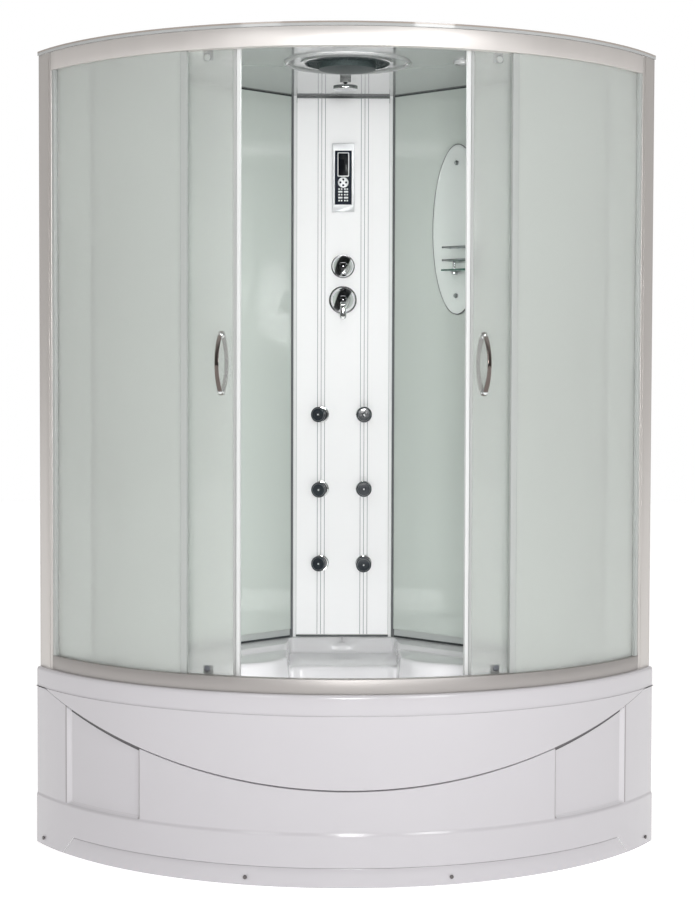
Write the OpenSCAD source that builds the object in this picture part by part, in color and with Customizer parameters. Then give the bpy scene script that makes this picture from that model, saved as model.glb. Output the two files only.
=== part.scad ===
// Corner shower cabin: a deep tub with a curved front, two curved sliding doors,
// glossy wall panels and a massage column in the corner. Millimetres.
// The front faces -Y, the corner of the room is at +Y, the floor is Z = 0, X = 0 is the middle.

/* [Cabin] */
// Length of each straight side, from the room corner to the front corner
side_l = 1200; // [1180:5:1240]
// Radius of the curved front, at the apron
front_r = 975; // [965:5:1010]
// Height of the whole cabin
cabin_h = 2150; // [2100:10:2250]
// Thickness of the roof edge that lies on the top rail
roof_edge_h = 11; // [8:1:16]
// Depth of the ceiling below the top of the roof edge
ceiling_drop = 17; // [14:1:22]
// Thickness of the roof shell
roof_t = 4; // [3:0.5:5]

/* [Tub] */
// Height of the front rim that carries the doors
rim_z = 484; // [460:2:500]
// Step down from the front rim to the deck that carries the walls
deck_step = 10; // [6:1:14]
// Height of the rim's skirt
rim_h = 53; // [40:1:70]
// Thickness of the tub shell
tub_t = 5; // [4:0.5:7]
// Distance of the rim behind the apron
rim_in = 3; // [2:0.5:5]
// Height of the seat ledge
seat_z = 425; // [380:5:440]
// Height of the underside of the tub floor
floor_z = 140; // [130:2:200]
// Width of the deck beside the basin
basin_side = 82; // [76:1:110]
// Width of the ledge beside the deep well
well_ledge = 50; // [30:2:90]
// Y of the front edge of the seat
seat_front_y = 150; // [80:5:260]
// Radius of the drain hole
drain_r = 26; // [20:1:35]
// Y of the drain
drain_y = -210; // [-260:5:-150]

/* [Apron] */
// Thickness of the apron sheet
apron_t = 5; // [4:0.5:8]
// Depth of the side recesses in the apron
field_h = 7; // [4:0.5:9]
// Step of the apron's surface at the smile curve and at the ledge line
line_step = 1.5; // [1:0.1:2]
// Radius of the smile curve
smile_r = 1890; // [1700:10:2200]
// Height of the lowest point of the smile curve
smile_z = 246; // [220:2:280]
// Height of the ledge line
ledge_z = 133; // [110:1:160]
// Angle where the side recesses begin, from the middle
recess_a1 = 33.5; // [28:0.5:38]
// Angle from the end of a side recess to the apron's corner
recess_in_a = 10; // [7:0.5:14]
// Height of the kick panel
kick_h = 49; // [40:1:60]
// Angle from the corner screws to the apron's corner
corner_screw_in = 3; // [2:0.5:6]
// Angle from the top corner of the kick panel to the apron's corner
kick_in_a = 12.5; // [10:0.5:18]
// Extra half angle of the kick panel at the floor
kick_slant = 3; // [1:0.5:5]
// Radius of the screw heads in the apron
screw_r = 5; // [4:0.5:7]

/* [Rails and posts] */
// Distance of the rails behind the apron's face
rail_in = 13; // [11:1:18]
// Depth of both rails, from the outer face to the inner edge
rail_d = 58; // [54:1:64]
// Height of the bottom rail
bottom_rail_h = 38; // [34:1:44]
// Height of the top rail
top_rail_h = 48; // [44:1:56]
// Wall thickness of the rails
rail_t = 3; // [2:0.5:3.5]
// Depth of the posts
post_d = 30; // [26:1:34]
// Angle from the outer side of a post to the apron's corner
post_in_a = 0.29; // [0.2:0.01:1.4]
// Angle that one post spans
post_span = 4.7; // [3.5:0.1:5.5]

/* [Glass] */
// Thickness of the curved glass
glass_t = 5; // [4:0.5:6]
// Distance from the rails' outer face to the fixed glass
fixed_in = 13; // [11:0.5:14]
// Distance from the rails' outer face to the door glass
door_in = 31; // [30:0.5:32]
// Depth of the slots that hold the fixed glass
slot_h = 8; // [6:0.5:10]
// Angle where the fixed glass begins, from the middle
fixed_a1 = 25.6; // [24.5:0.1:27]
// Clearance around the edges of the glass in its slots
glass_gap = 0.3; // [0.2:0.05:0.5]

/* [Doors] */
// Angle that one door spans
door_span = 29.3; // [28.5:0.1:30.5]
// Opening angle of the left door as it stands
left_open = 17.1; // [0:0.1:20]
// Opening angle of the right door as it stands
right_open = 18.3; // [0:0.1:20]
// Half the angle left between the closed doors
closed_gap = 0.03; // [0.02:0.01:0.1]
// Angle that the leading seal covers
lead_seal_a = 1.5; // [1:0.1:2]
// Angle that the trailing seal covers
trail_seal_a = 0.8; // [0.6:0.1:1.2]
// Angle from the leading edge to the handle
handle_a = 3.1; // [2.8:0.1:3.8]
// Height of the middle of the handle
handle_z = 1309; // [1200:5:1400]
// Height of the handle between its ends
handle_l = 166; // [140:2:200]
// Distance of the bow from the glass
handle_out = 33; // [28:1:38]
// Width of the handle bar
bar_w = 14; // [10:1:18]
// Thickness of the handle bar
bar_t = 6; // [5:0.5:8]

/* [Rollers] */
// Angle from each edge of the door to its rollers
roller_a = 5.5; // [4:0.1:7]
// Outer radius of the roller wheel
wheel_r = 12; // [11:0.5:13]
// Radius of the wheel at the root of its groove
wheel_root_r = 9.2; // [8.5:0.1:9.5]
// Width of the wheel
wheel_w = 8; // [7:0.5:8.5]
// Radius of the roller axle
axle_r = 3; // [2.5:0.1:3.5]
// Running clearance of the wheel on its axle
axle_gap = 0.05; // [0.02:0.01:0.1]
// Height of the bead that the wheels run on
bead_h = 3; // [2.5:0.1:3.2]
// Width of the bead
bead_w = 2.4; // [2:0.1:2.6]
// Gap between the wheel and its bead
bead_gap = 0.3; // [0.2:0.05:0.5]

/* [Walls and column] */
// Distance of the wall panels' inner face from the side lines
wall_in = 22.6; // [20:0.2:30]
// Thickness of the wall panels
wall_t = 6; // [5:0.5:6]
// Width of the column with its edge trims
column_w = 300; // [280:5:320]
// Width of one bright edge trim of the column
edge_w = 9; // [7:0.5:12]
// Width of the dark gasket between column and wall
gasket_w = 12; // [8:0.5:16]
// Depth of the column's folded sides
column_d = 40; // [34:1:50]
// Sheet thickness of the column
column_t = 3; // [2.5:0.5:4]
// Distance of the groove groups and the jets from the middle
groove_x = 66; // [60:1:72]
// Spacing of the grooves within a group
groove_pitch = 11; // [8:0.5:14]
// Width of a groove
groove_w = 2; // [1.5:0.5:3]
// Height of the trims along the bottom of the walls
wall_trim_h = 25; // [18:1:32]
// Height of the dark trims above and below the column
cap_h = 7; // [5:0.5:12]

/* [Controls] */
// Distance of the control unit's middle below the cabin's top
control_drop = 266; // [220:2:350]
// Width of the control bezel
bezel_w = 69; // [60:1:80]
// Height of the control bezel
bezel_h = 208; // [190:2:220]
// Depth of the control bezel
bezel_d = 12; // [9:0.5:15]
// Width of the dark control panel
panel_w = 50.5; // [44:0.5:54]
// Height of the dark control panel
panel_h = 163.5; // [150:0.5:175]
// Radius of the round control button
button_r = 16; // [12:0.5:18]
// Drop of the button below the middle of the control unit
button_drop = 15; // [10:1:20]
// Distance of the diverter knob below the control unit's middle
diverter_drop = 270; // [240:2:300]
// Radius of the diverter's rose
diverter_rose_r = 36; // [30:0.5:40]
// Distance of the mixer below the diverter knob
mixer_drop = 103; // [98:1:130]
// Radius of the mixer's rose
mixer_rose_r = 42.5; // [38:0.5:46]
// Radius of the mixer's dome
mixer_r = 32; // [28:0.5:36]
// Length of the mixer lever below the axis
lever_l = 60; // [50:1:70]
// Width of the mixer lever
lever_w = 20; // [16:1:24]

/* [Jets] */
// Height of the lowest pair of jets
jet_z = 702; // [680:2:730]
// Spacing of the rows of jets
jet_pitch = 229; // [215:1:240]
// Radius of the jet's face
jet_face_r = 23.5; // [20:0.5:25]
// Radius of the jet's ball
jet_r = 18; // [16:0.5:19]
// Radius of the jet collar
collar_r = 25; // [23:0.5:27]
// Clearance between ball and socket
socket_gap = 0.3; // [0.2:0.05:0.4]

/* [Mirror and shelf] */
// Distance of the mirror's middle from the column's edge, along the wall
mirror_u = 268; // [240:2:320]
// Distance of the mirror's middle below the cabin's top
mirror_drop = 436; // [370:2:500]
// Width of the mirror
mirror_w = 195; // [170:5:220]
// Height of the mirror
mirror_h = 505; // [460:5:540]
// Thickness of the mirror
mirror_t = 4; // [3:0.5:6]
// Height of the studs above and below the mirror's middle
stud_z = 196; // [180:2:210]
// Distance of the shelf glass below the mirror's middle
shelf_drop = 120; // [104:2:144]
// Width of the shelf glass
shelf_w = 100; // [92:2:120]
// Depth of the shelf glass
shelf_d = 50; // [44:2:60]
// Distance of the shelf's middle beyond the mirror's middle
shelf_side = 35; // [28:1:40]
// Distance of each gallery post from the shelf's middle
gallery_post_x = 35; // [30:1:38]
// Heights of the two gallery rails above the shelf glass
rail_rise = [27, 65];

/* [Ceiling] */
// Y of the middle of the ceiling grille
grille_y = -140; // [-180:5:-100]
// Outer radius of the grille
grille_r = 116; // [105:1:125]
// Radius of the grille's middle disc
disc_r = 78; // [70:1:84]
// Drop of the middle disc below the ceiling
disc_drop = 20; // [14:1:26]
// Radius of the moulded ring round the grille
ring_r = 168; // [150:1:185]
// Distance of the lamps from the middle
lamp_x = 315; // [280:5:360]
// Y of the lamps
lamp_y = -170; // [-200:5:-120]
// Radius of the lamps
lamp_r = 25; // [20:1:32]
// Y of the overhead rose
rose_y = 140; // [110:5:200]
// Radius of the overhead rose
rose_r = 35; // [30:1:45]
// Radius of the fan rotor
rotor_r = 50; // [40:1:52]

/* [Frame and plumbing] */
// Side of the square frame tube
tube_w = 25; // [20:1:30]
// Radius of the threaded rod in the feet
rod_r = 6; // [5:0.5:8]
// Radius of the foot pads
pad_r = 25; // [20:1:30]
// Radius of the drain outlet spigot
outlet_r = 25; // [20:0.5:25]
// Radius of the water inlet nipples
inlet_r = 10.48; // [10:0.02:12]
// Radius of the supply pipes
pipe_r = 8; // [6:0.5:10]

/* [Hidden] */
$fn = 72;
arc_fn = 360;
sq2 = sqrt(2);
eps = 1;
half_chord = side_l / sq2;
sagitta = front_r - sqrt(front_r * front_r - half_chord * half_chord);
chord_y = (sagitta - half_chord) / 2;
arc_y = chord_y + front_r - sagitta;
rear_y = chord_y + half_chord;
apron_a = asin(half_chord / front_r);
deck_z = rim_z - deck_step;
ceiling_z = cabin_h - ceiling_drop;
control_z = cabin_h - control_drop;
diverter_z = control_z - diverter_drop;
mixer_z = diverter_z - mixer_drop;
mirror_z = cabin_h - mirror_drop;
shelf_z = mirror_z - shelf_drop;
rail_top = cabin_h - roof_edge_h;
rail_r = front_r - rail_in;
rail_in_r = rail_r - rail_d;
fixed_r = rail_r - fixed_in;
door_r = rail_r - door_in;
door_bore_r = door_r - glass_t;
post_in_r = rail_r - post_d;
post_a2 = apron_a - post_in_a;
post_a1 = post_a2 - post_span;
slot_r1 = fixed_r - glass_t - glass_gap;
slot_r2 = fixed_r + glass_gap;
body_in_r = slot_r1 - 2.5 * rail_t;
bottom_rail_top = rim_z + bottom_rail_h;
track_z = rim_z + 16;
top_rail_z = rail_top - top_rail_h;
top_track_z = top_rail_z + 12;
bead_r = rail_in_r + 11;
bottom_wheel_z = track_z + bead_h + bead_gap + wheel_root_r;
top_wheel_z = top_track_z + bead_h + bead_gap + wheel_root_r;
door_z1 = track_z + 6;
door_z2 = top_wheel_z - 1.5;
face_y = rear_y - wall_in * sq2 - column_w / 2;
column_u = (column_w / 2 + rear_y - face_y) / sq2;
basin_front = rail_in + rail_d + 9;
basin_rear_y = face_y - 25;
collar_out = 7.5;
jet_tilts = [[0, -22], [0, 0], [6, -17], [0, 0], [2, -17], [10, 0]];
disc_z = ceiling_z - disc_drop;
fan_z = ceiling_z - 5;
pan_z = ceiling_z + roof_t;
tube_z = floor_z - tube_w;
lever_drop = 14;
bow_r = (handle_l * handle_l / 4 + handle_out * handle_out) / (2 * handle_out);
bow_a = asin(handle_l / 2 / bow_r);
frame_in = 36;
frame_u1 = 120;
frame_u2 = side_l - 110;
front_bar_y = -330;
rear_bar_y = 60;
long_bar_x = 200;
side_x = rear_y - frame_in * sq2;
feet = [
    for (s = [-1, 1]) for (u = [frame_u1 + 60, frame_u2 - 60])
        [s * (u - frame_in) / sq2, rear_y - (u + frame_in) / sq2],
    for (s = [-1, 1]) for (y = [front_bar_y, rear_bar_y]) [s * 320, y]
];
apron_top = rim_z - rim_h;
skin_r = front_r - field_h;
gap_line = 2;
corner_screw_a = apron_a - corner_screw_in;
recess_a2 = apron_a - recess_in_a;
kick_a = apron_a - kick_in_a;
kick_screw_a = 15.5;
screw_z = 20;
trap_r = 42;
trap_z = 36;
outlet_z = 74;
outlet_end = 260;
spigot_l = 50;
thread_l = 35;
lip_a = 0.7;
edge_seal_a = 1.1;
post_seal_a = 0.8;
jets = [
    for (row = [2, 1, 0]) for (s = [-1, 1]) [s * groove_x, jet_z + row * jet_pitch]
];
spindle_r = 14;
socket_r = jet_r + socket_gap;
socket_d = socket_r + 3;
neck_r = 9;
face_out = 18;
face_t = 9;
display_w = 36;
display_h = 74;
display_top = 5;
key_rows = [-35, -43, -52, -61, -70];
rose_t = 6;
stem_r = 9;
knob_gap = 0.6;
dome_in = 9;
lever_pin_y = -36;
lever_pin_z = -4;
lever_pin_r = 2.5;
manifold_y = face_y + 62;
inlet_x = 46;
inlet_l = 60;
collar_back = 36;
trim_t = 3;
mirror_gap = 3;
stud_r = 7;
shelf_t = 5;
shelf_out = mirror_gap + mirror_t + 4;
gallery_r = 3;
gallery_post_r = 4;
gallery_in = 8;
roof_in = 9.5;
lip_r = grille_r + 7;
rose_socket_r = 8;
rose_ball_z = ceiling_z - 9;
lamp_h = 10;
shroud_r = rotor_r + 4;
rose_h = 10;
roller_at = [roller_a, door_span - roller_a];
bolt_r = 4;
bottom_bolt_z = bottom_wheel_z + 22;
top_bolt_z = top_wheel_z - 40;
handle_bolt = handle_l / 2 - 12;
seal_z1 = door_z1 + 2;
seal_z2 = door_z2 - 4;
door_slot_r1 = door_bore_r - glass_gap;
door_slot_r2 = door_r + glass_gap;
bracket_t = 4.5;
bracket_w = 26;
wheel_in_r = bead_r - wheel_w / 2;

// Plan of the cabin, drawn in from the curved front and from the straight sides
module plan(front, side) {
    intersection() {
        translate([0, arc_y]) circle(r = front_r - front, $fn = arc_fn);
        translate([0, rear_y - side * sq2]) rotate(225) square(side_l * 1.3);
    }
}

// Slab with that plan between two heights
module slab(front, side, z1, z2) {
    translate([0, 0, z1]) linear_extrude(z2 - z1) plan(front, side);
}

// The same slab, cut off square behind a given Y
module cut_slab(front, side, back_y, z1, z2) {
    translate([0, 0, z1]) linear_extrude(z2 - z1) intersection() {
        plan(front, side);
        translate([-side_l, back_y - 2 * side_l]) square(2 * side_l);
    }
}

// Revolves a profile (radius, height) round the arc's centre between two angles from the middle
module sweep(a1, a2) {
    translate([0, arc_y, 0]) rotate([0, 0, a1 - 90])
        rotate_extrude(angle = a2 - a1, $fn = arc_fn) children();
}

// Curved bar of rectangular section
module band(r1, r2, a1, a2, z1, z2) {
    sweep(a1, a2) translate([r1, z1]) square([r2 - r1, z2 - z1]);
}

// Places children on the arc, with -Y pointing out of the cabin
module on_arc(r, a, z) {
    translate([0, arc_y, 0]) rotate([0, 0, a]) translate([0, -r, z]) children();
}

// Frame of the right side: +X runs forward along the side, -Y points into the cabin
module on_side() {
    translate([0, rear_y, 0]) rotate([0, 0, -45]) children();
}

// Left-hand copy
module left() {
    mirror([1, 0, 0]) children();
}

// Both hands
module both() {
    children();
    left() children();
}

// Half outline of a shallow dome of this radius: a rim of height h0, then a rise of h
function dome_points(r, h0, h) = concat([[r, h0 < 0.1 ? -1 : 0]], [
    for (i = [0:8]) [r * (1 - i / 8), h0 + h * (1 - pow(1 - i / 8, 2))]
]);

// Round bar along -Y, out of the column's face
module boss(r, y1, y2) {
    rotate([90, 0, 0]) translate([0, 0, y1]) cylinder(r = r, h = y2 - y1);
}

// Slot for the foot of a wall and its trim, where the front strip is higher than the deck
module wall_slot() intersection() {
    on_side() translate([column_u, -wall_in - trim_t, deck_z])
        cube([side_l, wall_t + trim_t, 2 * deck_step]);
    translate([0, arc_y, 0]) cylinder(r = post_in_r, h = cabin_h, $fn = arc_fn);
}

module tub() color("white") difference() {
    union() {
        slab(rim_in, 0, rim_z - rim_h, rim_z);
        cut_slab(basin_front - tub_t, basin_side - tub_t, basin_rear_y + tub_t,
            seat_z - tub_t, deck_z);
        cut_slab(basin_front + well_ledge / 2 - tub_t, basin_side + well_ledge - tub_t,
            seat_front_y + tub_t, floor_z, seat_z);
    }
    difference() {
        slab(rim_in + tub_t, tub_t, rim_z - rim_h - eps, deck_z - tub_t);
        cut_slab(basin_front - tub_t, basin_side - tub_t, basin_rear_y + tub_t,
            rim_z - rim_h - 2 * eps, deck_z);
    }
    slab(rail_in + rail_d + eps, -eps, deck_z, rim_z + eps);
    both() wall_slot();
    cut_slab(basin_front, basin_side, basin_rear_y, seat_z, rim_z + eps);
    cut_slab(basin_front + well_ledge / 2, basin_side + well_ledge, seat_front_y,
        floor_z + tub_t, seat_z + eps);
    translate([0, drain_y, floor_z - eps]) cylinder(r = drain_r, h = tub_t + 2 * eps);
}

// Square tube along X from the origin, open at both ends
module tube(l) {
    difference() {
        translate([0, -tube_w / 2, 0]) cube([l, tube_w, tube_w]);
        translate([-eps, -tube_w / 2 + 2, 2]) cube([l + 2 * eps, tube_w - 4, tube_w - 4]);
    }
}

// Half length of a cross tube that stays clear of the apron
function bar_reach(y) = sqrt(pow(skin_r - 20, 2) - pow(arc_y - y + tube_w / 2, 2));

module tub_frame() color("dimgray") {
    both() on_side() translate([frame_u1, -frame_in, tube_z]) tube(frame_u2 - frame_u1);
    for (y = [front_bar_y, rear_bar_y]) {
        x = min(side_x - y - tube_w / sq2, bar_reach(y));
        translate([-x, y, tube_z]) tube(2 * x);
    }
    for (s = [-1, 1]) translate([s * long_bar_x, front_bar_y, tube_z]) rotate([0, 0, 90])
        tube(rear_bar_y - front_bar_y);
    both() for (u = [frame_u1 + 120, frame_u2 - 150])
        on_side() translate([u - tube_w / 2, -frame_in - tube_w / 2, tube_z + tube_w - eps / 2])
            cube([tube_w, tube_w, deck_z - tub_t - tube_z - tube_w + eps / 2]);
}

module levelling_feet() color("silver") for (p = feet) translate([p[0], p[1], 0])
    rotate_extrude() polygon([
        [0, 0], [pad_r, 0], [pad_r, 6], [rod_r + 4, 14], [rod_r, 14], [rod_r, tube_z - 10],
        [rod_r + 5, tube_z - 10], [rod_r + 5, tube_z], [0, tube_z]
    ]);

// Horizontal cylinder whose underside is the smile curve
module smile() {
    translate([0, 0, smile_z + smile_r]) rotate([90, 0, 0])
        cylinder(r = smile_r, h = 4 * front_r, center = true, $fn = arc_fn);
}

// Outline of the kick panel seen from the front, grown all round
module kick_cut(grow) {
    x1 = front_r * sin(kick_a) + grow;
    x2 = front_r * sin(kick_a + kick_slant) + grow;
    rotate([90, 0, 0]) linear_extrude(4 * front_r, center = true) polygon([
        [-x2, -eps], [-x2, 0], [-x1, kick_h + grow], [x1, kick_h + grow], [x2, 0], [x2, -eps]
    ]);
}

// What is cut from the apron's sheet below the smile curve
module apron_fields() difference() {
    union() {
        band(front_r - line_step, front_r + eps, -apron_a - 1, apron_a + 1, -eps, ledge_z);
        band(front_r - 2 * line_step, front_r + eps, -apron_a - 1, apron_a + 1, ledge_z,
            apron_top + eps);
        for (s = [0, 1]) mirror([s, 0, 0])
            band(skin_r, front_r + eps, recess_a1, recess_a2, ledge_z, apron_top + eps);
    }
    smile();
}

module apron() color("gainsboro") difference() {
    band(skin_r - apron_t, front_r, -apron_a, apron_a, 0, apron_top);
    apron_fields();
    intersection() {
        band(skin_r - 2 * apron_t, front_r + eps, -apron_a, apron_a, -eps, 2 * kick_h);
        kick_cut(gap_line / 2);
    }
    for (s = [-1, 1]) on_arc(0, s * corner_screw_a, screw_z)
        boss(screw_r * 0.6, skin_r - 2 * apron_t, front_r + eps);
}

module kick_panel() color("gainsboro") difference() {
    intersection() {
        band(skin_r - apron_t, front_r - 2 * line_step, -apron_a, apron_a, 0, kick_h);
        kick_cut(0);
    }
    for (s = [-1, 1]) on_arc(0, s * kick_screw_a, screw_z)
        boss(screw_r * 0.6, skin_r - 2 * apron_t, front_r + eps);
}

module screw(head_r) {
    boss(screw_r * 0.6 - 0.2, head_r - 16, head_r);
    boss(screw_r, head_r, head_r + 2.5);
}

module apron_screws() color("silver") for (s = [-1, 1]) {
    on_arc(0, s * corner_screw_a, screw_z) screw(front_r - line_step + 0.3);
    on_arc(0, s * kick_screw_a, screw_z) screw(front_r - 2 * line_step + 0.3);
}

module drain_cover() color("silver") translate([0, drain_y, floor_z + tub_t]) {
    difference() {
        rotate_extrude() polygon(concat([[0, 0]], dome_points(drain_r * 1.7, 2, 6)));
        for (a = [0:60:300]) rotate([0, 0, a]) translate([drain_r * 0.9, 0, -eps])
            cylinder(r = 5, h = 12);
    }
    translate([0, 0, -tub_t - 10]) difference() {
        cylinder(r = drain_r - 0.5, h = tub_t + 10 + eps);
        translate([0, 0, -eps]) cylinder(r = drain_r - 4, h = tub_t + 10 + 3 * eps);
    }
}

module drain_trap() color("lightgray") difference() {
    union() {
        translate([0, drain_y, trap_z]) cylinder(r = trap_r, h = floor_z - trap_z);
        translate([0, drain_y, floor_z - 4]) cylinder(r = trap_r + 6, h = 4);
        translate([0, drain_y, outlet_z]) rotate([-90, 0, 0])
            cylinder(r = outlet_r, h = outlet_end - drain_y);
        translate([0, outlet_end - spigot_l, outlet_z]) rotate([90, 0, 0])
            cylinder(r = outlet_r + 4, h = 8);
    }
    translate([0, drain_y, trap_z + 4]) cylinder(r = trap_r - 4, h = floor_z - 16 - trap_z);
    translate([0, drain_y, trap_z + 4]) cylinder(r = drain_r, h = floor_z);
    translate([0, drain_y, outlet_z]) rotate([-90, 0, 0])
        cylinder(r = outlet_r - 3, h = outlet_end - drain_y + eps);
}

module bottom_rail() color("silver") sweep(-post_a1, post_a1) difference() {
    polygon([
        [rail_r, rim_z], [rail_r, bottom_rail_top], [slot_r2, bottom_rail_top],
        [slot_r2, bottom_rail_top - slot_h], [slot_r1, bottom_rail_top - slot_h],
        [slot_r1, bottom_rail_top], [body_in_r, bottom_rail_top], [body_in_r, track_z],
        [bead_r + bead_w / 2, track_z], [bead_r + bead_w / 2, track_z + bead_h],
        [bead_r - bead_w / 2, track_z + bead_h], [bead_r - bead_w / 2, track_z],
        [rail_in_r, track_z], [rail_in_r, rim_z]
    ]);
    translate([rail_in_r + rail_t, rim_z + rail_t])
        square([body_in_r - rail_in_r - rail_t, track_z - rim_z - 2 * rail_t]);
    translate([body_in_r + rail_t, rim_z + rail_t])
        square([rail_r - body_in_r - 2 * rail_t, bottom_rail_h - slot_h - 2 * rail_t]);
}

module top_rail() color("silver") sweep(-post_a1, post_a1) difference() {
    polygon([
        [rail_r, top_rail_z], [rail_r, rail_top], [rail_in_r, rail_top],
        [rail_in_r, top_track_z - rail_t], [bead_r + 4.5, top_track_z - rail_t],
        [bead_r + 4.5, top_track_z], [bead_r + bead_w / 2, top_track_z],
        [bead_r + bead_w / 2, top_track_z + bead_h], [bead_r - bead_w / 2, top_track_z + bead_h],
        [bead_r - bead_w / 2, top_track_z], [rail_in_r + rail_t, top_track_z],
        [rail_in_r + rail_t, rail_top - rail_t], [body_in_r, rail_top - rail_t],
        [body_in_r, top_rail_z], [slot_r1, top_rail_z], [slot_r1, top_rail_z + slot_h],
        [slot_r2, top_rail_z + slot_h], [slot_r2, top_rail_z]
    ]);
    translate([body_in_r + rail_t, top_rail_z + slot_h + rail_t])
        square([rail_r - body_in_r - 2 * rail_t, top_rail_h - slot_h - 2 * rail_t]);
}

// Right-hand post: a hollow profile with a bright lip along its inner side
module post() difference() {
    band(post_in_r, rail_r, post_a1, post_a2, rim_z, rail_top);
    band(post_in_r + rail_t, rail_r - rail_t, post_a1 + 0.8, post_a2 - 0.2, rim_z - eps,
        rail_top + eps);
    band(slot_r1, slot_r2, post_a1 - 0.1, post_a1 + 0.5, rim_z - eps, rail_top + eps);
    band(rail_r - 1.5, rail_r + eps, post_a1 + lip_a, post_a1 + lip_a + 0.12, rim_z - eps,
        rail_top + eps);
}

module right_post() color("silver") post();

module left_post() color("silver") left() post();

module fixed_glass() band(fixed_r - glass_t, fixed_r, fixed_a1 + 0.15, post_a1 + 0.45,
    bottom_rail_top - slot_h + glass_gap, top_rail_z + slot_h - glass_gap);

module right_fixed_glass() color("lightcyan", 0.5) fixed_glass();

module left_fixed_glass() color("lightcyan", 0.5) left() fixed_glass();

module fixed_glass_seals() color("whitesmoke") both() {
    difference() {
        band(fixed_r - glass_t - 2.5, fixed_r + 2.5, fixed_a1, fixed_a1 + edge_seal_a,
            bottom_rail_top, top_rail_z);
        band(slot_r1, slot_r2, fixed_a1 + 0.13, fixed_a1 + 2, bottom_rail_top - eps,
            top_rail_z + eps);
    }
    band(slot_r2, rail_r - 2, post_a1 - post_seal_a, post_a1, bottom_rail_top, top_rail_z);
}

// Right-hand wall panel, from the column to the inner face of the post
module wall() intersection() {
    on_side() translate([column_u, -wall_in, deck_z])
        cube([side_l, wall_t, ceiling_z - deck_z]);
    translate([0, arc_y, 0]) cylinder(r = post_in_r, h = cabin_h, $fn = arc_fn);
}

module right_wall() color("honeydew") wall();

module left_wall() color("honeydew") left() wall();

// Trims: along the bottom of the walls, the column's bright edges, its gaskets and its end caps
module wall_trims() color("darkgray") {
    both() intersection() {
        on_side() translate([column_u + gasket_w, -wall_in - trim_t, deck_z])
            cube([side_l, trim_t, wall_trim_h]);
        translate([0, arc_y, 0]) cylinder(r = post_in_r, h = cabin_h, $fn = arc_fn);
    }
    both() on_side() translate([column_u + 1, -wall_in - 2, deck_z])
        cube([gasket_w - 1, 2, ceiling_z - deck_z]);
    for (z = [deck_z, ceiling_z - cap_h])
        translate([-column_w / 2 + edge_w, face_y - 4, z])
            cube([column_w - 2 * edge_w, 4, cap_h]);
    both() translate([column_w / 2 - edge_w, face_y - 3, deck_z])
        cube([edge_w - 0.5, column_t + 3, ceiling_z - deck_z]);
}

module column() color("white") difference() {
    translate([-column_w / 2 + edge_w, face_y, deck_z])
        cube([column_w - 2 * edge_w, column_d, ceiling_z - deck_z]);
    translate([-column_w / 2 + edge_w + column_t, face_y + column_t, deck_z - eps])
        cube([column_w - 2 * edge_w - 2 * column_t, column_d, ceiling_z - deck_z + 2 * eps]);
    for (s = [-1, 1]) for (i = [-1:1])
        translate([s * groove_x + i * groove_pitch - groove_w / 2, face_y - eps, deck_z - eps])
            cube([groove_w, eps + 1.2, ceiling_z - deck_z + 2 * eps]);
    for (p = jets) translate([p[0], face_y, p[1]])
        boss(jet_r + 3, -column_t - eps, eps);
    for (z = [diverter_z, mixer_z]) translate([0, face_y, z])
        boss(spindle_r, -column_t - eps, eps);
}

module control_bezel() color("silver") translate([0, face_y, control_z]) difference() {
    translate([-bezel_w / 2, -bezel_d, -bezel_h / 2]) cube([bezel_w, bezel_d, bezel_h]);
    translate([-panel_w / 2 - 0.2, -bezel_d - eps, -panel_h / 2 - 0.2])
        cube([panel_w + 0.4, 5 + eps, panel_h + 0.4]);
    translate([0, 0, -button_drop]) boss(button_r + 4, -eps, bezel_d);
}

module control_panel() color("darkslategray") translate([0, face_y, control_z]) {
    difference() {
        translate([-panel_w / 2, -bezel_d + 0.5, -panel_h / 2]) cube([panel_w, 4.5, panel_h]);
        translate([0, 0, -button_drop]) boss(button_r + 0.3, 0, bezel_d + eps);
    }
    translate([-display_w / 2, -bezel_d - 0.5, panel_h / 2 - display_top - display_h])
        cube([display_w, 1, display_h]);
    for (z = key_rows) for (s = [-1, 1])
        translate([s * 8.7 - 6.5, -bezel_d - 0.3, z - 3]) cube([13, 0.8, 6]);
}

module nav_button() color("silver") translate([0, face_y, control_z - button_drop]) {
    boss(button_r, bezel_d - 6, bezel_d + 2);
    difference() {
        boss(button_r - 5, bezel_d + 2 - eps, bezel_d + 3);
        boss(button_r - 9, bezel_d + 2 - eps, bezel_d + 3 + eps);
    }
}

module knob_roses() color("silver") {
    translate([0, face_y, diverter_z]) difference() {
        boss(diverter_rose_r, 0, rose_t);
        boss(spindle_r, -eps, rose_t + eps);
    }
    translate([0, face_y, mixer_z]) difference() {
        boss(mixer_rose_r, 0, rose_t);
        boss(spindle_r, -eps, rose_t + eps);
    }
}

module diverter_knob() color("silver") translate([0, face_y, diverter_z]) difference() {
    union() {
        boss(26, rose_t + knob_gap, 26);
        boss(20, 26 - eps, 32);
        for (a = [0:60:300]) rotate([0, a, 0]) translate([26, 0, 0])
            boss(4, rose_t + knob_gap + 3, 23);
    }
    boss(stem_r + 0.05, rose_t - eps, 20);
}

module mixer_dome() color("silver") translate([0, face_y, mixer_z]) difference() {
    union() {
        boss(mixer_r, rose_t + knob_gap, 20);
        intersection() {
            translate([0, -12, 0]) sphere(r = mixer_r);
            boss(mixer_r + eps, 20 - eps, 60);
        }
    }
    boss(stem_r + 0.05, rose_t - eps, 20);
    difference() {
        translate([-lever_w / 2 - 1, -60, -mixer_r - 8])
            cube([lever_w + 2, 34, mixer_r + 8 + dome_in]);
        translate([-lever_w, lever_pin_y, lever_pin_z]) rotate([0, 90, 0])
            cylinder(r = lever_pin_r, h = 2 * lever_w);
    }
}

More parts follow.
